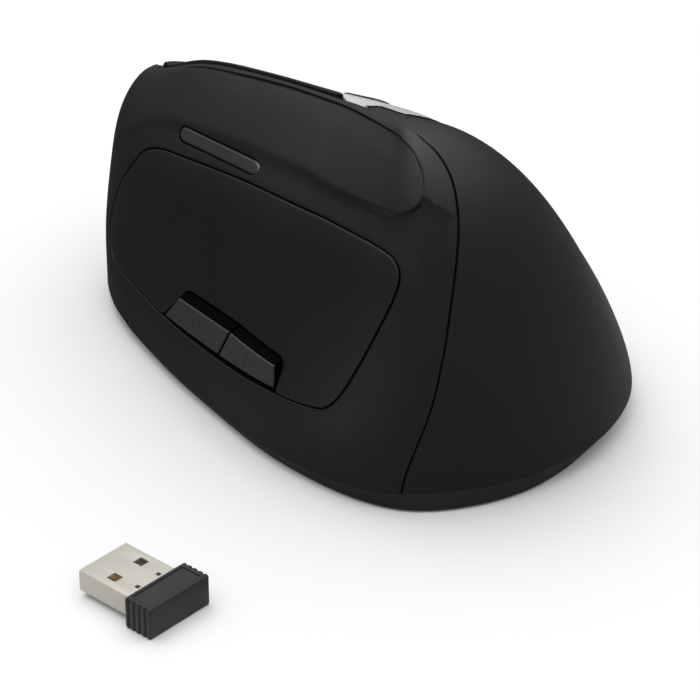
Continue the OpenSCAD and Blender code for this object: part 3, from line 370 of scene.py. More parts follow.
def run_along(q):
    """Length from the first point of a line on the skin to each of its points."""
    return np.concatenate([[0], np.cumsum(np.linalg.norm(np.diff(skin(q), axis=0), axis=1))])


def tree_of(points):
    tree = KDTree(len(points))
    for i, p in enumerate(points):
        tree.insert(p, i)
    tree.balance()
    return tree


def resample(q, pitch):
    run = run_along(q)
    n = max(int(round(run[-1] / pitch)), 2)
    at = np.linspace(0, run[-1], n + 1)
    return np.stack([np.interp(at, run, q[:, 0]), np.interp(at, run, q[:, 1])], -1)


def area(loop):
    x, y = loop[:, 0], loop[:, 1]
    return 0.5 * np.sum(x * np.roll(y, -1) - y * np.roll(x, -1))


def offset(loop, distance):
    """Moves a loop over the skin to its left, by a distance in millimetres."""
    p = skin(loop)
    along = unit(np.roll(p, -1, 0) - np.roll(p, 1, 0))
    return loop + step_on(loop, distance * unit(np.cross(normal(loop), along)))


def inside(points, loop):
    x, y = points[:, 0], points[:, 1]
    found = np.zeros(len(points), bool)
    for (x0, y0), (x1, y1) in zip(loop, np.roll(loop, -1, 0)):
        if y0 != y1:
            cross = (y0 > y) != (y1 > y)
            found ^= cross & (x < (x1 - x0) * (y - y0) / (y1 - y0) + x0)
    return found


class Track:
    """A line on the skin. It tells how far points lie to its left, and its own extra values there."""

    def __init__(self, points, pitch=0.35):
        points = np.asarray(points, float)
        fine = curve_at(points, np.linspace(0, 1, 40 * len(points)))
        self.q = resample(fine[:, :2], pitch)
        self.p = skin(self.q)
        along = unit(np.gradient(self.p, axis=0))
        self.left = unit(np.cross(normal(self.q), along))
        self.tree = tree_of(self.p)
        run = run_along(fine[:, :2])
        share = np.linspace(0, run[-1], len(self.p))
        self.extra = np.stack([np.interp(share, run, column) for column in fine.T], -1)[:, 2:]

    def look(self, p):
        index = np.array([self.tree.find(v)[1] for v in p])
        return ((p - self.p[index]) * self.left[index]).sum(-1), self.extra[index]

    def rows(self, distances):
        return [self.q + step_on(self.q, d * self.left) for d in distances]


# %% [markdown]
# ## The relief on the thumb side
# Above the thumb rest lies a blade-shaped facet. Its upper edge drops below the crest strip, and
# its lower edge and round rear end stand over a scoop. One line drawn on the skin runs round
# the blade, and a second runs from its rear end to the seam. A third one gives the crest strip
# its upper edge.

# %% Blade and crease
BLADE = [  # u, t, drop of the upper edge, depth of the scoop, width of the scoop's edge
    [0.1566, 0.9011, 0.1, 0, 1], [0.2065, 0.8976, 0.25, 0, 1], [0.2264, 0.905, 0.3, 0, 1],
    [0.2463, 0.9094, 0.3, 0, 1], [0.2665, 0.913, 0.3, 0, 1], [0.2926, 0.9077, 0.3, 0, 1],
    [0.3265, 0.8899, 0.3, 0, 1], [0.3469, 0.8797, 0.3, 0, 1], [0.3707, 0.8703, 0.3, 0, 1],
    [0.4034, 0.8582, 0.28, 0, 1], [0.425, 0.8183, 0.2, 0, 0.4], [0.4334, 0.7489, 0.13, 0, 0.4],
    [0.4342, 0.7, 0.1, 0, 0.4], [0.4312, 0.646, 0.05, 0.5, 0.4], [0.4249, 0.6142, 0, 1.1, 0.4],
    [0.4161, 0.6027, 0, 1.3, 0.5], [0.4041, 0.6014, 0, 1.3, 0.7], [0.3916, 0.614, 0, 1.15, 1],
    [0.3723, 0.6375, 0, 0.95, 1.5], [0.3543, 0.6547, 0, 0.8, 2], [0.3381, 0.6651, 0, 0.7, 2.4],
    [0.3166, 0.6805, 0, 0.6, 2.8], [0.2963, 0.6895, 0, 0.55, 3], [0.266, 0.6907, 0, 0.5, 3],
    [0.2425, 0.6907, 0, 0.5, 3], [0.2181, 0.6909, 0, 0.5, 3], [0.1924, 0.6871, 0, 0.48, 3],
    [0.1716, 0.6799, 0, 0.45, 3], [0.1491, 0.664, 0, 0.4, 3], [0.1319, 0.6155, 0, 0.3, 3],
    [0.1188, 0.5424, 0, 0.15, 3], [0.1066, 0.4397, 0, 0, 3]]
CREASE = [[0.4289, 0.6451], [0.4374, 0.6178], [0.4455, 0.5881], [0.4536, 0.5606], [0.461, 0.5342]]
SEAM = [[0.4095, 0], [0.4305, 0.095], [0.441, 0.2], [0.447, 0.3], [0.4545, 0.43], [0.4605, 0.55],
        [0.4643, 0.69], [0.4617, 0.8], [0.453, 0.868], [0.4365, 0.925], [0.385, 0.95], [0.327, 0.968]]
RIDGE = [[*q, high] for q, high in zip(SEAM[-5:], (0, 0.1, 0.35, 0.35, 0.1))]
RIDGE += [  # u, t, height of the crest strip's upper edge
    [0.28, 0.971, -0.3], [0.2, 0.975, -0.4], [0.1, 0.981, -0.3], [0.05, 0.984, 0]]
blade, crease, seam_line, ridge = Track(BLADE), Track(CREASE), Track(SEAM), Track(RIDGE)
STEP, SUNK_FADE, BROW_FADE, LIP_FADE = (-0.12, 0.12), (0.5, 5.0), (0.1, 2.2), (0.2, 2.2)
CREASE_STEP, REAR_U, SEAM_FADE = (-0.15, 0.4), (0.415, 0.432), (0.3, 4.5)
SCOOP_FROM, SCOOP_FLAT, SCOOP_END, SCOOP_END_REAR = -0.1, 3.0, 15.0, 34.0
RELIEF_U, RELIEF_T = (0.08, 0.475), (0.25, 0.995)
print("lines on the thumb side:", [len(line.q) for line in (blade, crease, seam_line, ridge)], "points")


# %% Height of the relief
def thumb_relief(q):
    """Height over the skin, in millimetres: the strip's raised edges, the blade's sunk one and the scoop."""
    u, t = q.T
    near = (u > RELIEF_U[0]) & (u < RELIEF_U[1]) & (t > RELIEF_T[0]) & (t < RELIEF_T[1])
    height = np.zeros(len(q))
    if not near.any():
        return height
    p = skin(q)[near]
    beyond, shape = blade.look(p)
    dip, scoop, edge = shape.T
    sunk = dip * smooth(-beyond, *STEP) * (1 - smooth(-beyond, *SUNK_FADE))
    brow = dip * smooth(beyond, *STEP) * (1 - smooth(beyond, *BROW_FADE))
    off, lip = ridge.look(p)
    lip = lip[:, 0] * (1 - smooth(np.abs(off), *LIP_FADE))
    above, _ = crease.look(p)
    low = smooth(-above, *CREASE_STEP)
    rear = smooth(u[near], *REAR_U)
    away = 1 - smooth(beyond, SCOOP_FLAT, mix(SCOOP_END, SCOOP_END_REAR, rear))
    from_seam = smooth(np.abs(seam_line.look(p)[0]), *SEAM_FADE)
    hollow = scoop * smooth(beyond, SCOOP_FROM, edge) * away * mix(1.0, low * from_seam, rear)
    height[near] = brow + lip - sunk - hollow
    return height


def no_relief(q):
    return np.zeros(len(q))


# %% [markdown]
# ## Sheets
# A sheet is a piece of the skin with a rolled edge, cut out by a loop and pierced by holes. The
# loops and a grid of points are joined into triangles, and a wall and an inner face close it.

# %% New objects
def add_object(name, points, faces, body, nodes, slot, sharp=50, paints=(), face_slots=None):
    """A mesh object on a body. Its slot gives the first material, and paints are the others."""
    mesh = bpy.data.meshes.new(name)
    mesh.from_pydata((np.asarray(points) * MM).tolist(), [], faces)
    mesh.validate()
    for m in (PALETTE[slot], *paints):
        mesh.materials.append(m)
    if face_slots is not None:
        mesh.polygons.foreach_set("material_index", np.asarray(face_slots, np.int32))
    mesh.shade_smooth()
    mesh.set_sharp_from_angle(angle=math.radians(sharp))
    made = bpy.data.objects.new(name, mesh)
    scene.collection.objects.link(made)
    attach(made, body)
    if nodes:
        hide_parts(*nodes)
    print("piece:", name, len(mesh.polygons), "faces")
    return made


# %% Parts of a sheet
PLANE = np.array([300.0, 75.0])  # about the millimetres that u and t span
ROLL = np.radians([0, 30, 60, 90])
RING_IN, LINE_CLEAR, GRID_CLEAR, GRID_SHARE = 0.45, 0.35, 0.6, 0.6
FOOT_T, FOOT_DROP, NEW_FALL = 0.004, 0.9 * SEAM_GAP, 0.1


def even_loop(loop, pitch=0.55, soften=2):
    loop = resample(np.vstack([loop, loop[:1]]), pitch)[:-1]
    for _ in range(soften):
        loop = 0.25 * np.roll(loop, 1, 0) + 0.5 * loop + 0.25 * np.roll(loop, -1, 0)
    return loop


def edge_rings(loops, edges):
    """Rings that roll each loop's edge over, their drops, the links along them, and each loop's rim."""
    points, drops, links, rims = [], [], [], []
    count = 0
    for k, (ring, edge) in enumerate(zip(loops, np.broadcast_to(edges, len(loops)))):
        ring = even_loop(ring)
        if (area(ring * PLANE) > 0) != (k == 0):
            ring = ring[::-1]
        distances = list(edge * (1 - np.cos(ROLL))) + [edge + RING_IN]
        falls = list(edge * (1 - np.sin(ROLL))) + [0.0]
        for j, (d, fall) in enumerate(zip(distances, falls)):
            moved = offset(ring, d) if d else ring
            ids = np.arange(count, count + len(moved))
            points.append(moved)
            drops.append(np.full(len(moved), fall))
            links += list(zip(ids.tolist(), np.roll(ids, -1).tolist()))
            if j == 0:
                rims.append((moved, ids))
            count += len(moved)
    return points, drops, links, rims


def pierced(q, rims):
    """Tells which points lie inside the first rim and outside the others."""
    found = inside(q, rims[0][0])
    for hole, _ in rims[1:]:
        found &= ~inside(q, hole)
    return found


def clear_of(tree, q, room):
    if not len(q):
        return q
    return q[np.array([tree.find(p)[2] for p in skin(q)]) > room]


def grid_over(rim, pitch):
    low, high = rim.min(0), rim.max(0)
    nu, nt = np.maximum((high - low) * PLANE / pitch, 2).astype(int)
    us, ts = np.linspace(low[0], high[0], nu + 1), np.linspace(low[1], high[1], nt + 1)
    grid = np.stack(np.meshgrid(us, ts), -1)
    grid[::2, :, 0] += 0.5 * (high[0] - low[0]) / nu
    return grid.reshape(-1, 2)


# %% The sheet maker
def sheet(name, loop, body, nodes, slot, holes=(), lines=(), relief=no_relief, edges=0.3, depth=WALL,
          pitch=1.3):
    points, drops, links, rims = edge_rings([loop, *holes], edges)
    guard = tree_of(skin(np.vstack(points)))
    extra = [clear_of(guard, row[pierced(row, rims)], LINE_CLEAR) for line in lines for row in line]
    extra = np.vstack(extra) if extra else np.zeros((0, 2))
    grid = grid_over(rims[0][0], pitch)
    grid = clear_of(guard, grid[pierced(grid, rims)], GRID_SHARE * pitch)
    if len(extra):
        grid = clear_of(tree_of(skin(extra)), grid, GRID_CLEAR)
    flat = np.vstack(points + [extra, grid]) * PLANE
    fall = np.concatenate(drops + [np.zeros(len(extra) + len(grid))])
    out = delaunay_2d_cdt([Vector(v) for v in flat], links, [], 0, 1e-7)
    verts, tris, origin = np.array([v[:] for v in out[0]]) / PLANE, np.array(out[2]), out[3]
    fall = np.array([fall[o[0]] if o else NEW_FALL for o in origin])
    index = {o: i for i, group in enumerate(origin) for o in group}
    tris = tris[pierced(verts[tris].mean(1), rims)]
    foot = 1 - smooth(verts[:, 1], 0.0, FOOT_T)
    outer = skin(verts) + normal(verts) * (relief(verts) - fall * (1 - foot))[:, None]
    outer[:, 2] -= FOOT_DROP * foot
    inner = skin(verts) + inward(verts) * depth
    n = len(verts)
    faces = [tuple(map(int, f)) for f in tris] + [tuple(int(i) + n for i in f[::-1]) for f in tris]
    for _, ids in rims:
        ring = [index[i] for i in ids.tolist()]
        faces += [(b, a, a + n, b + n) for a, b in zip(ring, ring[1:] + ring[:1])]
    return add_object(name, np.vstack([outer, inner]), faces, body, nodes, slot)


# %% Stacks of rings
def stack(name, rings, body, nodes, slot, sharp=40, trim=None):
    """A closed piece from rings of points, from its foot over its rolled edge to its face."""
    paint, band = trim or (PALETTE[slot], -1)
    rings = [np.asarray(r, float) for r in rings]
    spread = rings[0] - rings[0].mean(0)
    facing = np.cross(spread, np.roll(spread, -1, 0)).sum(0)
    if facing @ (rings[-1].mean(0) - rings[0].mean(0)) < 0:
        rings = [r[::-1] for r in rings]
    n, top = len(rings[0]), (len(rings) - 1) * len(rings[0])
    faces, slots = [tuple(range(n - 1, -1, -1)), tuple(range(top, top + n))], [0, 0]
    for k in range(len(rings) - 1):
        a = k * n
        faces += [(a + i, a + (i + 1) % n, a + n + (i + 1) % n, a + n + i) for i in range(n)]
        slots += [int(k == band)] * n
    return add_object(name, np.vstack(rings), faces, body, nodes, slot, sharp, [paint], slots)


# %% Loops and grids
LOOP_N, LOOP_END_N, MIDDLE_N = 160, 60, 9


def polygon(corners, n):
    sides = zip(corners, corners[1:] + corners[:1])
    return np.vstack([mix(a, b, np.linspace(0, 1, n)[:-1, None]) for a, b in sides])


def quad_grid(rows, cols):
    """Faces between the points of a grid, row by row."""
    return [(j * cols + i, j * cols + i + 1, (j + 1) * cols + i + 1, (j + 1) * cols + i)
            for j in range(rows - 1) for i in range(cols - 1)]


def patch_loop(low, high, side_gaps=(0, 0), end_gaps=(0, 0)):
    """Outline of the skin between two borders, drawn back from them by gaps in millimetres."""
    middle = np.array([mix(low(b), high(b), 0.5) for b in np.linspace(0, 1, MIDDLE_N)])
    run = run_along(middle)[-1]
    bs = np.linspace(end_gaps[0] / run, 1 - end_gaps[1] / run, LOOP_N)
    lows, highs = np.array([low(b) for b in bs]), np.array([high(b) for b in bs])
    span = np.linalg.norm(skin(lows) - skin(highs), axis=1)
    a0, a1 = (side_gaps[0] / span)[:, None], (1 - side_gaps[1] / span)[:, None]
    left, right = mix(lows, highs, a0), mix(lows, highs, a1)
    across = np.linspace(0, 1, LOOP_END_N)[1:-1, None]
    first, last = mix(left[0], right[0], across), mix(right[-1], left[-1], across)
    return np.vstack([first, right, last, left[::-1]])


# %% [markdown]
# ## Borders of the shells
# These are the lines where the mouldings meet. They are the same lines that the CAD uses, except
# that the trim's tip reaches a little further forward.

# %% Border lines
TRIM_UPPER = [[1.03, 0.6], [1, 0.61], [0.95, 0.63], [0.9, 0.655], [0.86, 0.665], [0.82, 0.655],
              [0.785, 0.675], [0.763, 0.745], [0.748, 0.86], [0.727, 0.92], [0.7, 0.985]]
TRIM_LOWER = [[1.03, 0.53], [1, 0.54], [0.95, 0.54], [0.9, 0.515], [0.86, 0.505], [0.82, 0.515],
              [0.775, 0.535], [0.742, 0.555], [0.715, 0.6], [0.692, 0.67], [0.67, 0.78],
              [0.65, 0.88], [0.645, 0.945], [0.68, 0.985]]
TRIM_TIP = [0.7125, 0.985]
PALM_SIDE = [[0.715, 0], [0.72, 0.15], [0.727, 0.3], [0.737, 0.45], [0.742, 0.555]]
MIDDLE_SHARE, INDEX_SHARE = 7 / 13, 9 / 10
NOSE_U, SKIRT_T, CREST_T, INDEX_TOP_T, FRONT_SEAM_U = 1.03, 0.3, 0.985, 0.975, 0.03
INDEX_FRONT_U, INDEX_FRONT_T, INDEX_EASE, INDEX_REAR_U = 1.012, 0.92, 0.25, 0.716
NOSE_ROOM, CREST_ROOM, PRESS_ROOM = 0.8, 0.2, 0.35
PAD = np.array([
    [0.1165, 0.195], [0.1161, 0.256], [0.1275, 0.36], [0.1447, 0.46], [0.1547, 0.519], [0.173, 0.552],
    [0.2013, 0.561], [0.241, 0.569], [0.283, 0.572], [0.3243, 0.565], [0.3577, 0.536], [0.3807, 0.504],
    [0.397, 0.468], [0.405, 0.418], [0.4, 0.371], [0.3877, 0.321], [0.3717, 0.26], [0.3597, 0.215],
    [0.3483, 0.189], [0.3323, 0.19], [0.3093, 0.195], [0.2727, 0.188], [0.2297, 0.186], [0.1827, 0.188],
    [0.15, 0.18], [0.1275, 0.171]])
KEY_FRONT = [[0.2017, 0.195], [0.223, 0.263]]
KEY_SPLIT = [[0.2587, 0.198], [0.274, 0.264]]
KEY_REAR = [[0.3103, 0.205], [0.314, 0.253]]
LENS_ENDS = np.array([[0.1915, 0.6415], [0.2593, 0.6259]])
LENS_R, LENS_STRETCH = 1.25, 1.9


def border(points, share=1.0):
    return lambda b: curve_at(points, b * share)


def straight(start, end):
    return lambda b: mix(start, end, b)


def thumb_front(b):
    return np.array([FRONT_SEAM_U, seam(b)[1] / SEAM[-1][1] * CREST_T])


def palm_edge(b):
    return curve_at(PALM_SIDE, 2 * b) if b < 0.5 else trim_low(mix(MIDDLE_SHARE, 1, 2 * b - 1))


def index_high(b):
    t = mix(INDEX_FRONT_T, INDEX_TOP_T, min(1, b / INDEX_EASE))
    return np.array([mix(INDEX_FRONT_U, INDEX_REAR_U, b), t])


seam, trim_low, trim_high = border(SEAM), border(TRIM_LOWER), border(TRIM_UPPER[:-1] + [TRIM_TIP])
middle_high, index_low = border(TRIM_LOWER, MIDDLE_SHARE), border(TRIM_UPPER, INDEX_SHARE)
skirt_low = straight((NOSE_U, 0.0), (PALM_SIDE[0][0], 0.0))
skirt_high = straight((NOSE_U, SKIRT_T), (PALM_SIDE[2][0], SKIRT_T))
print("borders: seam from", seam(0), "to", seam(1))


# %% Frames on the skin
class Frame:
    """A local frame on the skin: z is the outward normal and y runs to the nose."""

    def __init__(self, q):
        q = np.array(q, float)
        n = unit(np.cross(*slopes(q, 0.004)))
        self.at, tilt, lean = skin(q), math.atan2(n[0], n[2]), -math.asin(n[1])
        c, s = math.cos(tilt), math.sin(tilt)
        ry = np.array([[c, 0, s], [0, 1, 0], [-s, 0, c]])
        c, s = math.cos(lean), math.sin(lean)
        rx = np.array([[1, 0, 0], [0, c, -s], [0, s, c]])
        self.turn = ry @ rx

    def out(self, p):
        return np.asarray(p, float) @ self.turn.T + self.at

    def back(self, p):
        return (np.asarray(p, float) - self.at) @ self.turn


SPEED_AT, WHEEL_AT = [0.731, 0.797], [0.855, 0.585]
finger, speed = Frame([0.8125, 0.50]), Frame(SPEED_AT)
WHEEL_R, WHEEL_W, WHEEL_PROUD, WHEEL_ROOM = 11.5, 7.0, 3.5, 0.6
wheel_at = finger.back(skin(np.array(WHEEL_AT))) + (0, 0, WHEEL_PROUD - WHEEL_R)
print("wheel centre:", finger.out(wheel_at).round(2))


# %% [markdown]
# ## Thumb side
# The thumb shell is pierced by the inlay and by the indicator lens. The inlay is pierced by the
# window of the two side buttons.

# %% Loops on the thumb side
CAPSULE_N = 40


def capsule(ends, r, reach=None):
    """Outline of a slot with half-round ends, or with ends drawn out to a longer reach."""
    a, b = ends
    d = (b - a) / np.linalg.norm(b - a)
    sweep = np.linspace(0, math.pi, CAPSULE_N)
    out = np.outer((reach or r) * np.sin(sweep), d)
    over = np.outer(r * np.cos(sweep), [-d[1], d[0]])
    return np.vstack([b + out - over, a - out + over])


half_seam = SEAM_GAP / 2
lens_ends = side_view(LENS_ENDS)
pad_loop = ring_at(PAD, np.linspace(0, 1, 240, endpoint=False))
pad_left = half_seam if area(pad_loop * PLANE) > 0 else -half_seam
corners = [mix(*KEY_FRONT, -0.5), KEY_FRONT[1], KEY_SPLIT[1], KEY_REAR[1], mix(*KEY_REAR, -0.5)]
WINDOW_GAP = KEY_GAP + 0.1
window = even_loop(polygon(corners, 24), 0.4, soften=3)
window = offset(window, -WINDOW_GAP if area(window * PLANE) > 0 else WINDOW_GAP)


def notched(loop, cut):
    """A loop with an open notch where another loop crosses its border."""
    keep, take = ~inside(loop, cut), inside(cut, loop)
    loop = np.roll(loop, -np.flatnonzero(keep & ~np.roll(keep, 1))[0], 0)[:keep.sum()]
    cut = np.roll(cut, -np.flatnonzero(take & ~np.roll(take, 1))[0], 0)[:take.sum()]
    if np.linalg.norm(cut[0] - loop[-1]) > np.linalg.norm(cut[-1] - loop[-1]):
        cut = cut[::-1]
    return np.vstack([loop, cut])


def lens_outline(room):
    shape = capsule(lens_ends, LENS_R + room, reach=LENS_R * LENS_STRETCH + room)
    return settle(side_view, shape, LENS_ENDS.mean(0))


blade_rows = blade.rows([-3.0, -2.0, -1.3, -0.8, -0.4, -0.12, 0.12, 0.4, 0.8, 1.3, 2.0])
crease_rows = crease.rows([-2.0, -1.2, -0.7, -0.4, -0.12, 0.15, 0.5, 1.1])

# %% Thumb shell, inlay and lens
thumb_loop = patch_loop(thumb_front, seam, (half_seam, half_seam))
sheet("thumb_shell_skin", thumb_loop, "case", ["thumb_shell"], "soft_black",
      holes=[offset(pad_loop, -pad_left), lens_outline(half_seam)], lines=[blade_rows, crease_rows],
      relief=thumb_relief, edges=(0.28, 0.28, 0.06), pitch=1.4)
sheet("thumb_inlay", notched(offset(even_loop(pad_loop, 0.4, 0), pad_left), window), "case", ["thumb_pad"],
      "soft_black", relief=thumb_relief, edges=0.25, depth=1.6, pitch=1.4)
LENS_PROFILE = [  # room beyond the capsule, height over the skin
    (-0.15, -0.36), (-0.19, -0.26), (-0.4, -0.12), (-0.48, -0.1), (-0.7, -0.08),
    (-1, -0.07), (-1.2, -0.07)]
foot = lens_outline(-half_seam)
lens_rings = [skin(foot) + inward(foot) * WALL]
for room, height in LENS_PROFILE:
    q = lens_outline(room)
    lens_rings.append(skin(q) + normal(q) * (height + thumb_relief(q))[:, None])
# The lens's rolled edge gets the lighter painted highlight.
stack("lens_window", lens_rings, "case", ["indicator_lens"], "smoked_lens", trim=(LENS_EDGE_HIGHLIGHT, 2))

# %% [markdown]
# ## Side buttons
# Each side button is a wedge: flush along its lower edge and proud along its upper one. Its
# walls carry painted shade, a near-black standing in for the shadow in the button's well, and its satin face
# carries a small engraved arrow.

# %% Side buttons
KEY_PROUD, KEY_EDGE, KEY_DEPTH, KEY_ROUND, KEY_FOOT, SPLIT_GAP = 1.7, 0.15, 2.6, 0.3, 0.12, 0.27
KEY_HIGH, KEY_SLOPE, KEY_COLUMNS, KEY_ROWS = 8.6, 0.88, 150, 66
ROLL_AT, FACE_IN = np.array([0, 0.02, 0.07, 0.15, 0.26, 0.4]), 0.55
FORWARD_MARK = np.array([[1.85, 0.0], [0.2, -1.69], [-1.75, 1.63]])
BACK_MARK = np.array([[1.9, -1.8], [-0.2, 1.8], [-1.8, -0.2]])


def groove(p, mark, depth=0.14, half=0.22):
    best = np.full(p.shape[:-1], 9.0)
    for a, b in zip(mark, np.roll(mark, -1, 0)):
        f = np.clip(((p - a) @ (b - a)) / ((b - a) @ (b - a)), 0, 1)
        best = np.minimum(best, np.linalg.norm(p - a - f[..., None] * (b - a), axis=-1))
    return depth * (1 - smooth(best, 0.04, half))


def rolled(distance, r):
    d = np.clip(distance, 0, r)
    return r - np.sqrt(np.maximum(r * r - (r - d) ** 2, 0))


def rolled_steps(long, n):
    """Places along a length, closer together at its two rolled ends."""
    return np.concatenate([ROLL_AT, np.linspace(FACE_IN, long - FACE_IN, n), long - ROLL_AT[::-1]])


def side_key(name, body, node, front, rear, gaps, mark):
    face = KEY_SLOPE * KEY_HIGH
    ups = np.concatenate([rolled_steps(face, KEY_ROWS), np.linspace(face, KEY_HIGH, 6)[1:]])
    rows, runs, spans = [], [], []
    for b in ups / KEY_HIGH:
        a, c = mix(*front, b), mix(*rear, b)
        wide = np.linalg.norm(skin(a) - skin(c))
        span = wide - sum(gaps)
        run = rolled_steps(span, KEY_COLUMNS)
        rows.append(mix(a, c, ((run + gaps[0]) / wide)[:, None]))
        runs.append(run)
        spans.append(span)
    q, run, span, up = np.array(rows), np.array(runs), np.array(spans)[:, None], ups[:, None]
    p = skin(q)
    centre = p[KEY_ROWS // 2 + len(ROLL_AT), run.shape[1] // 2, 1:3]
    top = KEY_PROUD - KEY_ROUND
    rise = np.where(up <= face, mix(KEY_EDGE, KEY_PROUD, up / face) - rolled(face - up, KEY_ROUND),
                    mix(top, KEY_EDGE, (up - face) / (KEY_HIGH - face)))
    rise = rise - rolled(run, KEY_ROUND) - rolled(span - run, KEY_ROUND) - rolled(up, KEY_FOOT)
    rise -= groove(p[..., 1:3] - centre, mark)
    outer = p - rise[..., None] * (1, 0, 0)
    inner = p + (KEY_DEPTH, 0, 0)
    nr, nc = run.shape
    n = nr * nc
    faces = quad_grid(nr, nc)
    # The sloped upper wall and the walls round the button take the painted shade.
    slots = np.repeat(ups[:-1] >= face, nc - 1).astype(int).tolist()
    g = np.arange(n).reshape(nr, nc)
    border = np.concatenate([g[0], g[1:, -1], g[-1, -2::-1], g[-2:0:-1, 0]]).tolist()
    ring = np.concatenate([outer.reshape(-1, 3), inner.reshape(-1, 3)[border]])
    m = len(border)
    faces += [(border[(k + 1) % m], border[k], n + k, n + (k + 1) % m) for k in range(m)]
    faces.append(tuple(range(n + m - 1, n - 1, -1)))
    slots += [1] * (m + 1)
    return add_object(name, ring, faces, body, [node], "key_grey", 40, [PAINTED_SHADE], slots)


side_key("forward_key", "forward", "forward_button", KEY_FRONT, KEY_SPLIT, (0, SPLIT_GAP), FORWARD_MARK)
side_key("back_key", "back", "back_button", KEY_SPLIT, KEY_REAR, (SPLIT_GAP, 0), BACK_MARK)


# %% [markdown]
# ## Palm shell
# The palm shell wraps the heel and closes over the hump, so its rows run from the thumb seam to
# the trim, and the last row is sewn to itself along the crest.

# %% Palm shell
PALM_ROLL, PALM_NEAR, PALM_IN, PALM_ROWS, PALM_COLUMNS, PALM_FINE = 0.3, 0.8, 1.6, 132, 111, 200


def palm_shell(name):
    near = np.concatenate([PALM_ROLL * (1 - np.cos(ROLL)), [PALM_NEAR]])
    fall = np.concatenate([PALM_ROLL * (1 - np.sin(ROLL)), [0.0]])
    share = np.linspace(0, 1, PALM_FINE)
    rows, drops = [], []
    for b in np.concatenate([[0, 0.002], np.linspace(0.006, 1, PALM_ROWS)]):
        l, h = seam(b), palm_edge(b)
        run = run_along(mix(l, h, share[:, None]))
        total = run[-1]
        middle = np.linspace(half_seam + PALM_IN, total - half_seam - PALM_IN, PALM_COLUMNS)
        at = np.concatenate([half_seam + near, middle, total - half_seam - near[::-1]])
        rows.append(mix(l, h, np.interp(at, run, share)[:, None]))
        drops.append(np.concatenate([fall, np.zeros(len(middle)), fall[::-1]]))
    q, drop = np.array(rows), np.array(drops)
    nb, nc = drop.shape
    outer = (skin(q) - normal(q) * drop[..., None]).reshape(-1, 3)
    inner = (skin(q) + inward(q) * WALL).reshape(-1, 3)
    outer[:nc, 2] -= FOOT_DROP
    n = nb * nc
    g = np.arange(n).reshape(nb, nc).tolist()
    faces, first, last = [], g[0], g[-1]
    for f in quad_grid(nb, nc):
        faces += [f, tuple(k + n for k in f[::-1])]
    faces += [(b, a, a + n, b + n) for a, b in zip(first, first[1:])]
    for a, b in zip(g, g[1:]):
        faces += [(a[0], b[0], b[0] + n, a[0] + n), (b[-1], a[-1], a[-1] + n, b[-1] + n)]
    for i in range(nc // 2 - (nc % 2 == 0)):
        f = tuple(dict.fromkeys((last[i], last[i + 1], last[nc - 2 - i], last[nc - 1 - i])))
        faces += [f, tuple(k + n for k in f[::-1])]
    faces.append((last[0], last[-1], last[-1] + n, last[0] + n))
    return add_object(name, np.vstack([outer, inner]), faces, "case", ["palm_shell"], "soft_black")


palm_shell("palm_skin")


# %% [markdown]
# ## Finger side
# Two long buttons lie on the slope with a bright trim between them, which the wheel and the
# speed button pierce. The trim's tip rolls down to the crest strip, and a band of painted shade
# along its edge to the palm shell stands in for the gap's shadow. A skirt closes the side down to the base.

# %% Slots and the trim's tip
def slot_loop(local_frame, outline, start):
    return settle(lambda q: local_frame.back(skin(q))[..., :2], outline, np.array(start, float))


def rectangle(cx, cy, w, h):
    x, y = w / 2, h / 2
    return polygon([(cx - x, cy - y), (cx + x, cy - y), (cx + x, cy + y), (cx - x, cy + y)], 20)


def paint_border(obj, track, paint):
    """Gives the faces beside a line on the skin another material. The line carries its own width."""
    obj.data.materials.append(paint)
    for face in obj.data.polygons:
        _, index, gap = track.tree.find(face.center / MM)
        face.material_index = int(gap < track.extra[index, 0])


TIP_ROLL = [[0.68, 0.985, 0], [0.696, 0.985, 0.65], [*TRIM_TIP, 1.15]]  # u, t, how far the tip rolls down
TIP_WIDE = 4.0
tip_line = Track(TIP_ROLL)


def trim_relief(q):
    """The trim's tip rolls down to the crest strip."""
    off, drop = tip_line.look(skin(q))
    return -drop[:, 0] * (1 - smooth(np.abs(off), 0.0, TIP_WIDE))


# %% Skirt, trim and buttons
wheel_hole = rectangle(wheel_at[0], wheel_at[1], WHEEL_W + 2 * WHEEL_ROOM, 2 * (WHEEL_R + WHEEL_ROOM))
wheel_slot = slot_loop(finger, wheel_hole, WHEEL_AT)
DPI_L, DPI_W, DPI_PROUD, DPI_DEEP = 11.0, 4.4, 0.7, 4.0
speed_ends = np.array([[0, -1], [0, 1]]) * (DPI_L - DPI_W) / 2
speed_slot = slot_loop(speed, capsule(speed_ends, DPI_W / 2 + KEY_GAP), SPEED_AT)
skirt_loop = patch_loop(skirt_low, skirt_high, (0, KEY_GAP / 2), (half_seam, half_seam))
sheet("finger_skirt_skin", skirt_loop, "case", ["finger_skirt"], "soft_black", pitch=1.6)
PALM_ROOM, PALM_ROOM_FROM, PALM_ROOM_TO = 0.45, 0.58, 0.72
# Widths of the painted shade band along the trim's palm edge and at its tip.
SHADE_BAND_WIDTH, SHADE_TIP_WIDTH = 1.0, 0.35
trim_room = half_seam + PALM_ROOM * smooth(np.linspace(0, 1, LOOP_N), PALM_ROOM_FROM, PALM_ROOM_TO)
trim_loop = patch_loop(trim_low, trim_high, (trim_room, KEY_GAP / 2), (half_seam, half_seam))
trim = sheet("trim_skin", trim_loop, "case", ["silver_trim"], "silver", holes=[wheel_slot, speed_slot],
             relief=trim_relief, pitch=1.1)
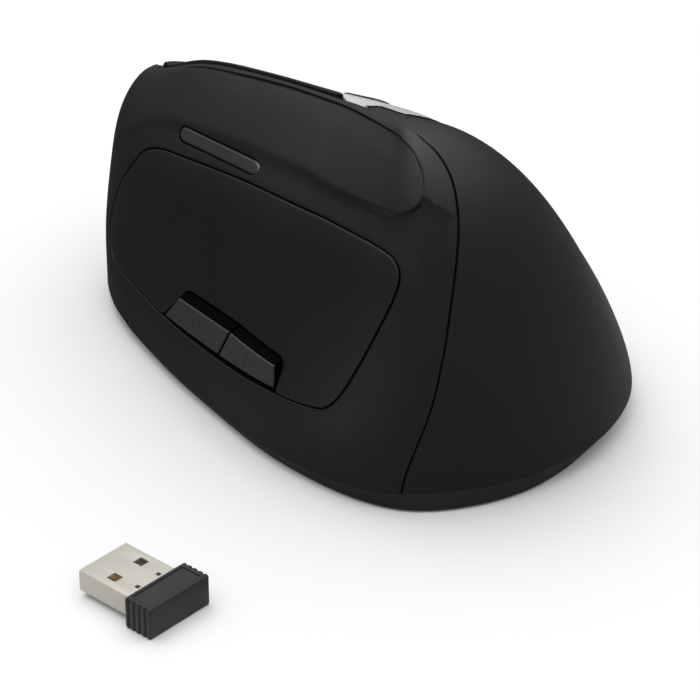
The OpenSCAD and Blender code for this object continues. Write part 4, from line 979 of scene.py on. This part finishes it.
# Painted shade: a near-black band along the trim's edge to the palm shell and at its tip stands in for the
# shadow of the gap.
paint_border(trim, Track([[*q, SHADE_BAND_WIDTH] for q in TRIM_LOWER[8:]] + [[*TRIM_TIP, SHADE_TIP_WIDTH]]), PAINTED_SHADE)
index_loop = patch_loop(index_low, index_high, (KEY_GAP / 2, CREST_ROOM), (NOSE_ROOM, KEY_GAP))
sheet("index_key", index_loop, "index", ["index_button"], "soft_black", pitch=1.3, edges=0.35)
middle_loop = patch_loop(skirt_high, middle_high, (KEY_GAP + PRESS_ROOM, KEY_GAP), (NOSE_ROOM, KEY_GAP))
sheet("middle_key", middle_loop, "middle", ["middle_button"], "soft_black", pitch=1.4, edges=0.35)

# %% [markdown]
# ## Seal at the nose
# The index button needs room at the nose for its swing. A soft lip on the thumb shell reaches
# into that room, just below the skin, and stops short of the button.

# %% Nose seal
SEAL_ROOM, SEAL_DROP, SEAL_T, SEAL_TUCK, SEAL_N = 0.85, 0.35, 0.8, 0.7, 40
SEAL_START, SEAL_CORNER, SEAL_END = (0.15, 0.978), (FRONT_SEAM_U, CREST_T), (FRONT_SEAM_U, 0.60)
share = np.linspace(0, 1, SEAL_N)[:, None]
lip_line = np.vstack([mix(SEAL_START, SEAL_CORNER, share[:-1]), mix(SEAL_CORNER, SEAL_END, share)])
near_key = tree_of(skin(index_loop))
seal_rings = []
for p, n in zip(skin(lip_line), normal(lip_line)):
    key = np.array(near_key.find(p)[0])
    gap = np.linalg.norm(key - p)
    reach = (key - p) / gap
    start = p - SEAL_TUCK * reach - SEAL_DROP * n
    end = p + max(gap - SEAL_ROOM, 0) * reach - SEAL_DROP * n
    seal_rings.append([start, end, end - SEAL_T * n, start - SEAL_T * n])
stack("nose_seal", seal_rings, "case", [], "soft_black")

# %% [markdown]
# ## Speed button and wheel
# The speed button is a rounded pill. The tyre is a plain ring, and a node group lays the ribs
# round it: a circle gives the places and one soft bar is repeated on them.

# %% Speed button
PILL = [  # radius, height
    (DPI_W / 2, -DPI_DEEP), (DPI_W / 2, 0.22), (2.12, 0.43), (1.95, 0.57), (1.7, 0.64), (1.2, 0.68),
    (0.6, 0.69), (0.05, DPI_PROUD)]
pill_rings = [np.column_stack([capsule(speed_ends, r), np.full(2 * CAPSULE_N, z)]) for r, z in PILL]
stack("speed_pill", [speed.out(r) for r in pill_rings], "speed", ["dpi_button"], "gloss_black")


# %% Tyre ribs by Geometry Nodes
def keep_result(obj):
    """Gives an object the mesh that its modifiers make, and takes them off."""
    made = bpy.data.meshes.new_from_object(obj.evaluated_get(bpy.context.evaluated_depsgraph_get()))
    obj.modifiers.clear()
    obj.data = made


def ribbed_ring():
    group = bpy.data.node_groups.new("ribbed_ring", "GeometryNodeTree")
    kinds = {"Ring": "Geometry", "Count": "Int", "Radius": "Float", "Rib": "Vector", "Paint": "Material"}
    for label, kind in kinds.items():
        group.interface.new_socket(label, in_out="INPUT", socket_type="NodeSocket" + kind)
    group.interface.new_socket("Mesh", in_out="OUTPUT", socket_type="NodeSocketGeometry")
    given = group.nodes.new("NodeGroupInput")
    pen, take = Socket(group), {label: Socket(group, given.outputs[label]) for label in kinds}
    circle = pen.make("GeometryNodeMeshCircle", {"Vertices": take["Count"], "Radius": take["Radius"]})
    where = pen.make("GeometryNodeInputPosition")
    turn = pen.make("FunctionNodeAlignRotationToVector", {"Vector": where}, axis="X")
    bar = pen.make("GeometryNodeMeshCube", {"Size": take["Rib"]})
    bar = pen.make("GeometryNodeSubdivisionSurface", {"Mesh": bar, "Level": 3, "Edge Crease": 0.7})
    ribs = pen.make("GeometryNodeInstanceOnPoints", {"Points": circle, "Instance": bar, "Rotation": turn})
    ribs = pen.make("GeometryNodeRealizeInstances", {"Geometry": ribs})
    joined = pen.make("GeometryNodeJoinGeometry", {"Geometry": ribs})
    group.links.new(take["Ring"].out, joined.out.node.inputs["Geometry"])
    soft = pen.make("GeometryNodeSetShadeSmooth", {"Geometry": joined})
    made = pen.make("GeometryNodeSetMaterial", {"Geometry": soft, "Material": take["Paint"]})
    group.links.new(made.out, group.nodes.new("NodeGroupOutput").inputs[0])
    return group


def run_nodes(obj, group, values):
    """Puts a node group on an object, sets its named inputs and keeps only the mesh it makes."""
    step = obj.modifiers.new("nodes", "NODES")
    step.node_group = group
    for item in group.interface.items_tree:
        if item.name in values:
            step[item.identifier] = values[item.name]
    keep_result(obj)


# %% Tyre
TYRE_RIBS, RIB_BITE, RIB_GAP, RIB_IN, HUB_R, ROUND_N = 36, 0.35, 0.9, 2.2, WHEEL_R - 2.6, 120
half = WHEEL_W / 2
SHOULDER = [(HUB_R, 0), (WHEEL_R - 1.2, 0), (WHEEL_R - 0.75, 0.12), (WHEEL_R - 0.45, 0.5),
            (WHEEL_R - RIB_BITE, 1.2)]
TYRE = [(r, -half + z) for r, z in SHOULDER] + [(r, half - z) for r, z in SHOULDER[::-1]]
around = np.linspace(0, 2 * math.pi, ROUND_N + 1)[:-1]
ring = np.array([[(r * math.cos(a), r * math.sin(a), z) for r, z in TYRE] for a in around])
m = len(TYRE)
quads = [(i * m + k, (i + 1) % ROUND_N * m + k, (i + 1) % ROUND_N * m + (k + 1) % m, i * m + (k + 1) % m)
         for i in range(ROUND_N) for k in range(m)]
tyre = add_object("ribbed_tyre", ring.reshape(-1, 3), quads, "wheel", ["wheel_tyre"], "rubber")
rib_size = Vector((2 * RIB_BITE, 2 * math.pi * WHEEL_R / TYRE_RIBS - RIB_GAP, WHEEL_W - RIB_IN)) * MM
run_nodes(tyre, ribbed_ring(), {"Count": TYRE_RIBS, "Radius": (WHEEL_R - RIB_BITE) * MM, "Rib": rib_size,
                                "Paint": PALETTE["rubber"]})
to_axle = Matrix(finger.turn.tolist()).to_4x4() @ Matrix.Rotation(math.pi / 2, 4, "Y")
tyre.data.transform(Matrix.Translation(Vector(finger.out(wheel_at)) * MM) @ to_axle)
print("tyre:", len(tyre.data.polygons), "faces")

# %% [markdown]
# ## Receiver
# The receiver's cap is a stack of rings whose ends carry four grooves, with a sunk panel on
# top. Its plug is a folded sheet-metal tube with rounded long edges and cut windows.

# %% Receiver cap
DESK = Matrix.Translation((-86.5, -44.7, 0)) @ Matrix.Rotation(math.radians(8.1), 4, "Z")
CAP_W, CAP_L, CAP_H, CAP_ROUND = 15.0, 6.2, 6.4, 0.4
CAP_GROOVES, GROOVE_DEEP, GROOVE_HALF, PANEL_IN = (-1.0, -2.35, -3.7, -5.05), 0.4, 0.36, 0.5
PLUG_W, PLUG_H, PLUG_L, PLUG_WALL = 12.0, 4.5, 12.9, 0.3
PLUG_ROUND, PLUG_SHARP, PLUG_BEVEL = 0.6, 35, 0.07
plug_z = (CAP_H - PLUG_H) / 2


def on_desk(points):
    points = np.asarray(points, float)
    return points @ np.array(DESK.to_3x3()).T + np.array(DESK.translation)


def rounded_box(low, high, r, per_side=(90, 12), bend=6):
    """Points round a box with rounded corners, from its low corner, with a fixed count."""
    (x0, y0), (x1, y1) = low, high
    arcs = []
    for k, centre in enumerate([(x1 - r, y0 + r), (x1 - r, y1 - r), (x0 + r, y1 - r), (x0 + r, y0 + r)]):
        turn = np.radians(90 * (k - 1) + np.linspace(0, 90, bend))
        arcs.append(centre + r * np.column_stack([np.cos(turn), np.sin(turn)]))
    points = []
    for k, (arc, after) in enumerate(zip(arcs, arcs[1:] + arcs[:1])):
        points += [arc, mix(arc[-1], after[0], np.linspace(0, 1, per_side[k % 2] + 2)[1:-1, None])]
    return np.vstack(points)


def cap_ring(back, z, grooved=GROOVE_DEEP, inset=0.0):
    x = CAP_W / 2 - back - inset
    p = rounded_box((-x, -CAP_L + back), (x, -back), CAP_ROUND)
    cut = sum(np.maximum(0, 1 - ((p[:, 1] - y) / GROOVE_HALF) ** 2) for y in CAP_GROOVES)
    at_end = np.abs(p[:, 0]) > x - 0.05
    p[:, 0] -= np.sign(p[:, 0]) * grooved * cut * at_end
    return on_desk(np.column_stack([p, np.full(len(p), z)]))


CAP_EDGE = [(0.45, 0.0), (0.2, 0.07), (0.06, 0.25), (0.0, 0.5)]  # inset, height
CAP_STEPS = CAP_EDGE + [(back, CAP_H - z) for back, z in CAP_EDGE[::-1]]
PANEL_STEPS = [(0.72, 0.0), (0.78, 0.06), (0.80, 0.3)]  # inset, depth
cap_rings = [cap_ring(back, z) for back, z in CAP_STEPS]
cap_rings += [cap_ring(back, CAP_H - down, 0, PANEL_IN) for back, down in PANEL_STEPS]
stack("receiver_grip", cap_rings, "receiver", ["receiver_cap"], "satin_black", sharp=50)


# %% Receiver plug
def plug_ring(back, y):
    low, high = (-PLUG_W / 2 + back, plug_z + back), (PLUG_W / 2 - back, plug_z + PLUG_H - back)
    p = rounded_box(low, high, PLUG_ROUND - back, (2, 2), 8)
    return np.column_stack([p[:, 0], np.full(len(p), y), p[:, 1]])


def box_mesh(centre, size):
    signs = np.array([(x, y, z) for z in (-1, 1) for y in (-1, 1) for x in (-1, 1)])
    sides = [(0, 2, 3, 1), (4, 5, 7, 6), (0, 1, 5, 4), (2, 6, 7, 3), (0, 4, 6, 2), (1, 3, 7, 5)]
    return signs * np.array(size) / 2 + centre, sides


def cut_out(obj, points, faces):
    """Cuts a closed shape out of an object, and bevels the sharp edges that are left."""
    mesh = bpy.data.meshes.new("cutter")
    mesh.from_pydata((np.asarray(points) * MM).tolist(), [], faces)
    cutter = bpy.data.objects.new("cutter", mesh)
    scene.collection.objects.link(cutter)
    cut = obj.modifiers.new("cut", "BOOLEAN")
    cut.object, cut.operation, cut.solver = cutter, "DIFFERENCE", "EXACT"
    soft = obj.modifiers.new("soft", "BEVEL")
    soft.width, soft.segments = PLUG_BEVEL * MM, 2
    soft.limit_method, soft.angle_limit = "ANGLE", math.radians(60)
    keep_result(obj)
    bpy.data.objects.remove(cutter)
    obj.data.shade_smooth()
    obj.data.set_sharp_from_angle(angle=math.radians(PLUG_SHARP))


WINDOWS = [  # x, y, width, middle height and depth of the cut
    (3.25, 6.6, 2.1, CAP_H / 2, 9.0), (2.6, 1.6, 0.9, plug_z + PLUG_H, 2.0)]
tube = [plug_ring(back, y) for back, y in ((0, 0), (0, PLUG_L), (PLUG_WALL, PLUG_L), (PLUG_WALL, 0))]
n = len(tube[0])
quads = [((a + 1) % 4 * n + i, (a + 1) % 4 * n + (i + 1) % n, a * n + (i + 1) % n, a * n + i)
         for a in range(4) for i in range(n)]
plug = add_object("receiver_plug", on_desk(np.vstack(tube)), quads, "receiver", ["receiver_shell"], "nickel",
                  sharp=PLUG_SHARP)
points, faces = [], []
for side in (-1, 1):
    for x, y, wide, z, deep in WINDOWS:
        corners, sides = box_mesh((side * x, y, z), (wide, wide, deep))
        faces += [tuple(i + len(points) for i in f) for f in sides]
        points += list(corners)
cut_out(plug, on_desk(points), faces)
print("plug:", len(plug.data.polygons), "faces")
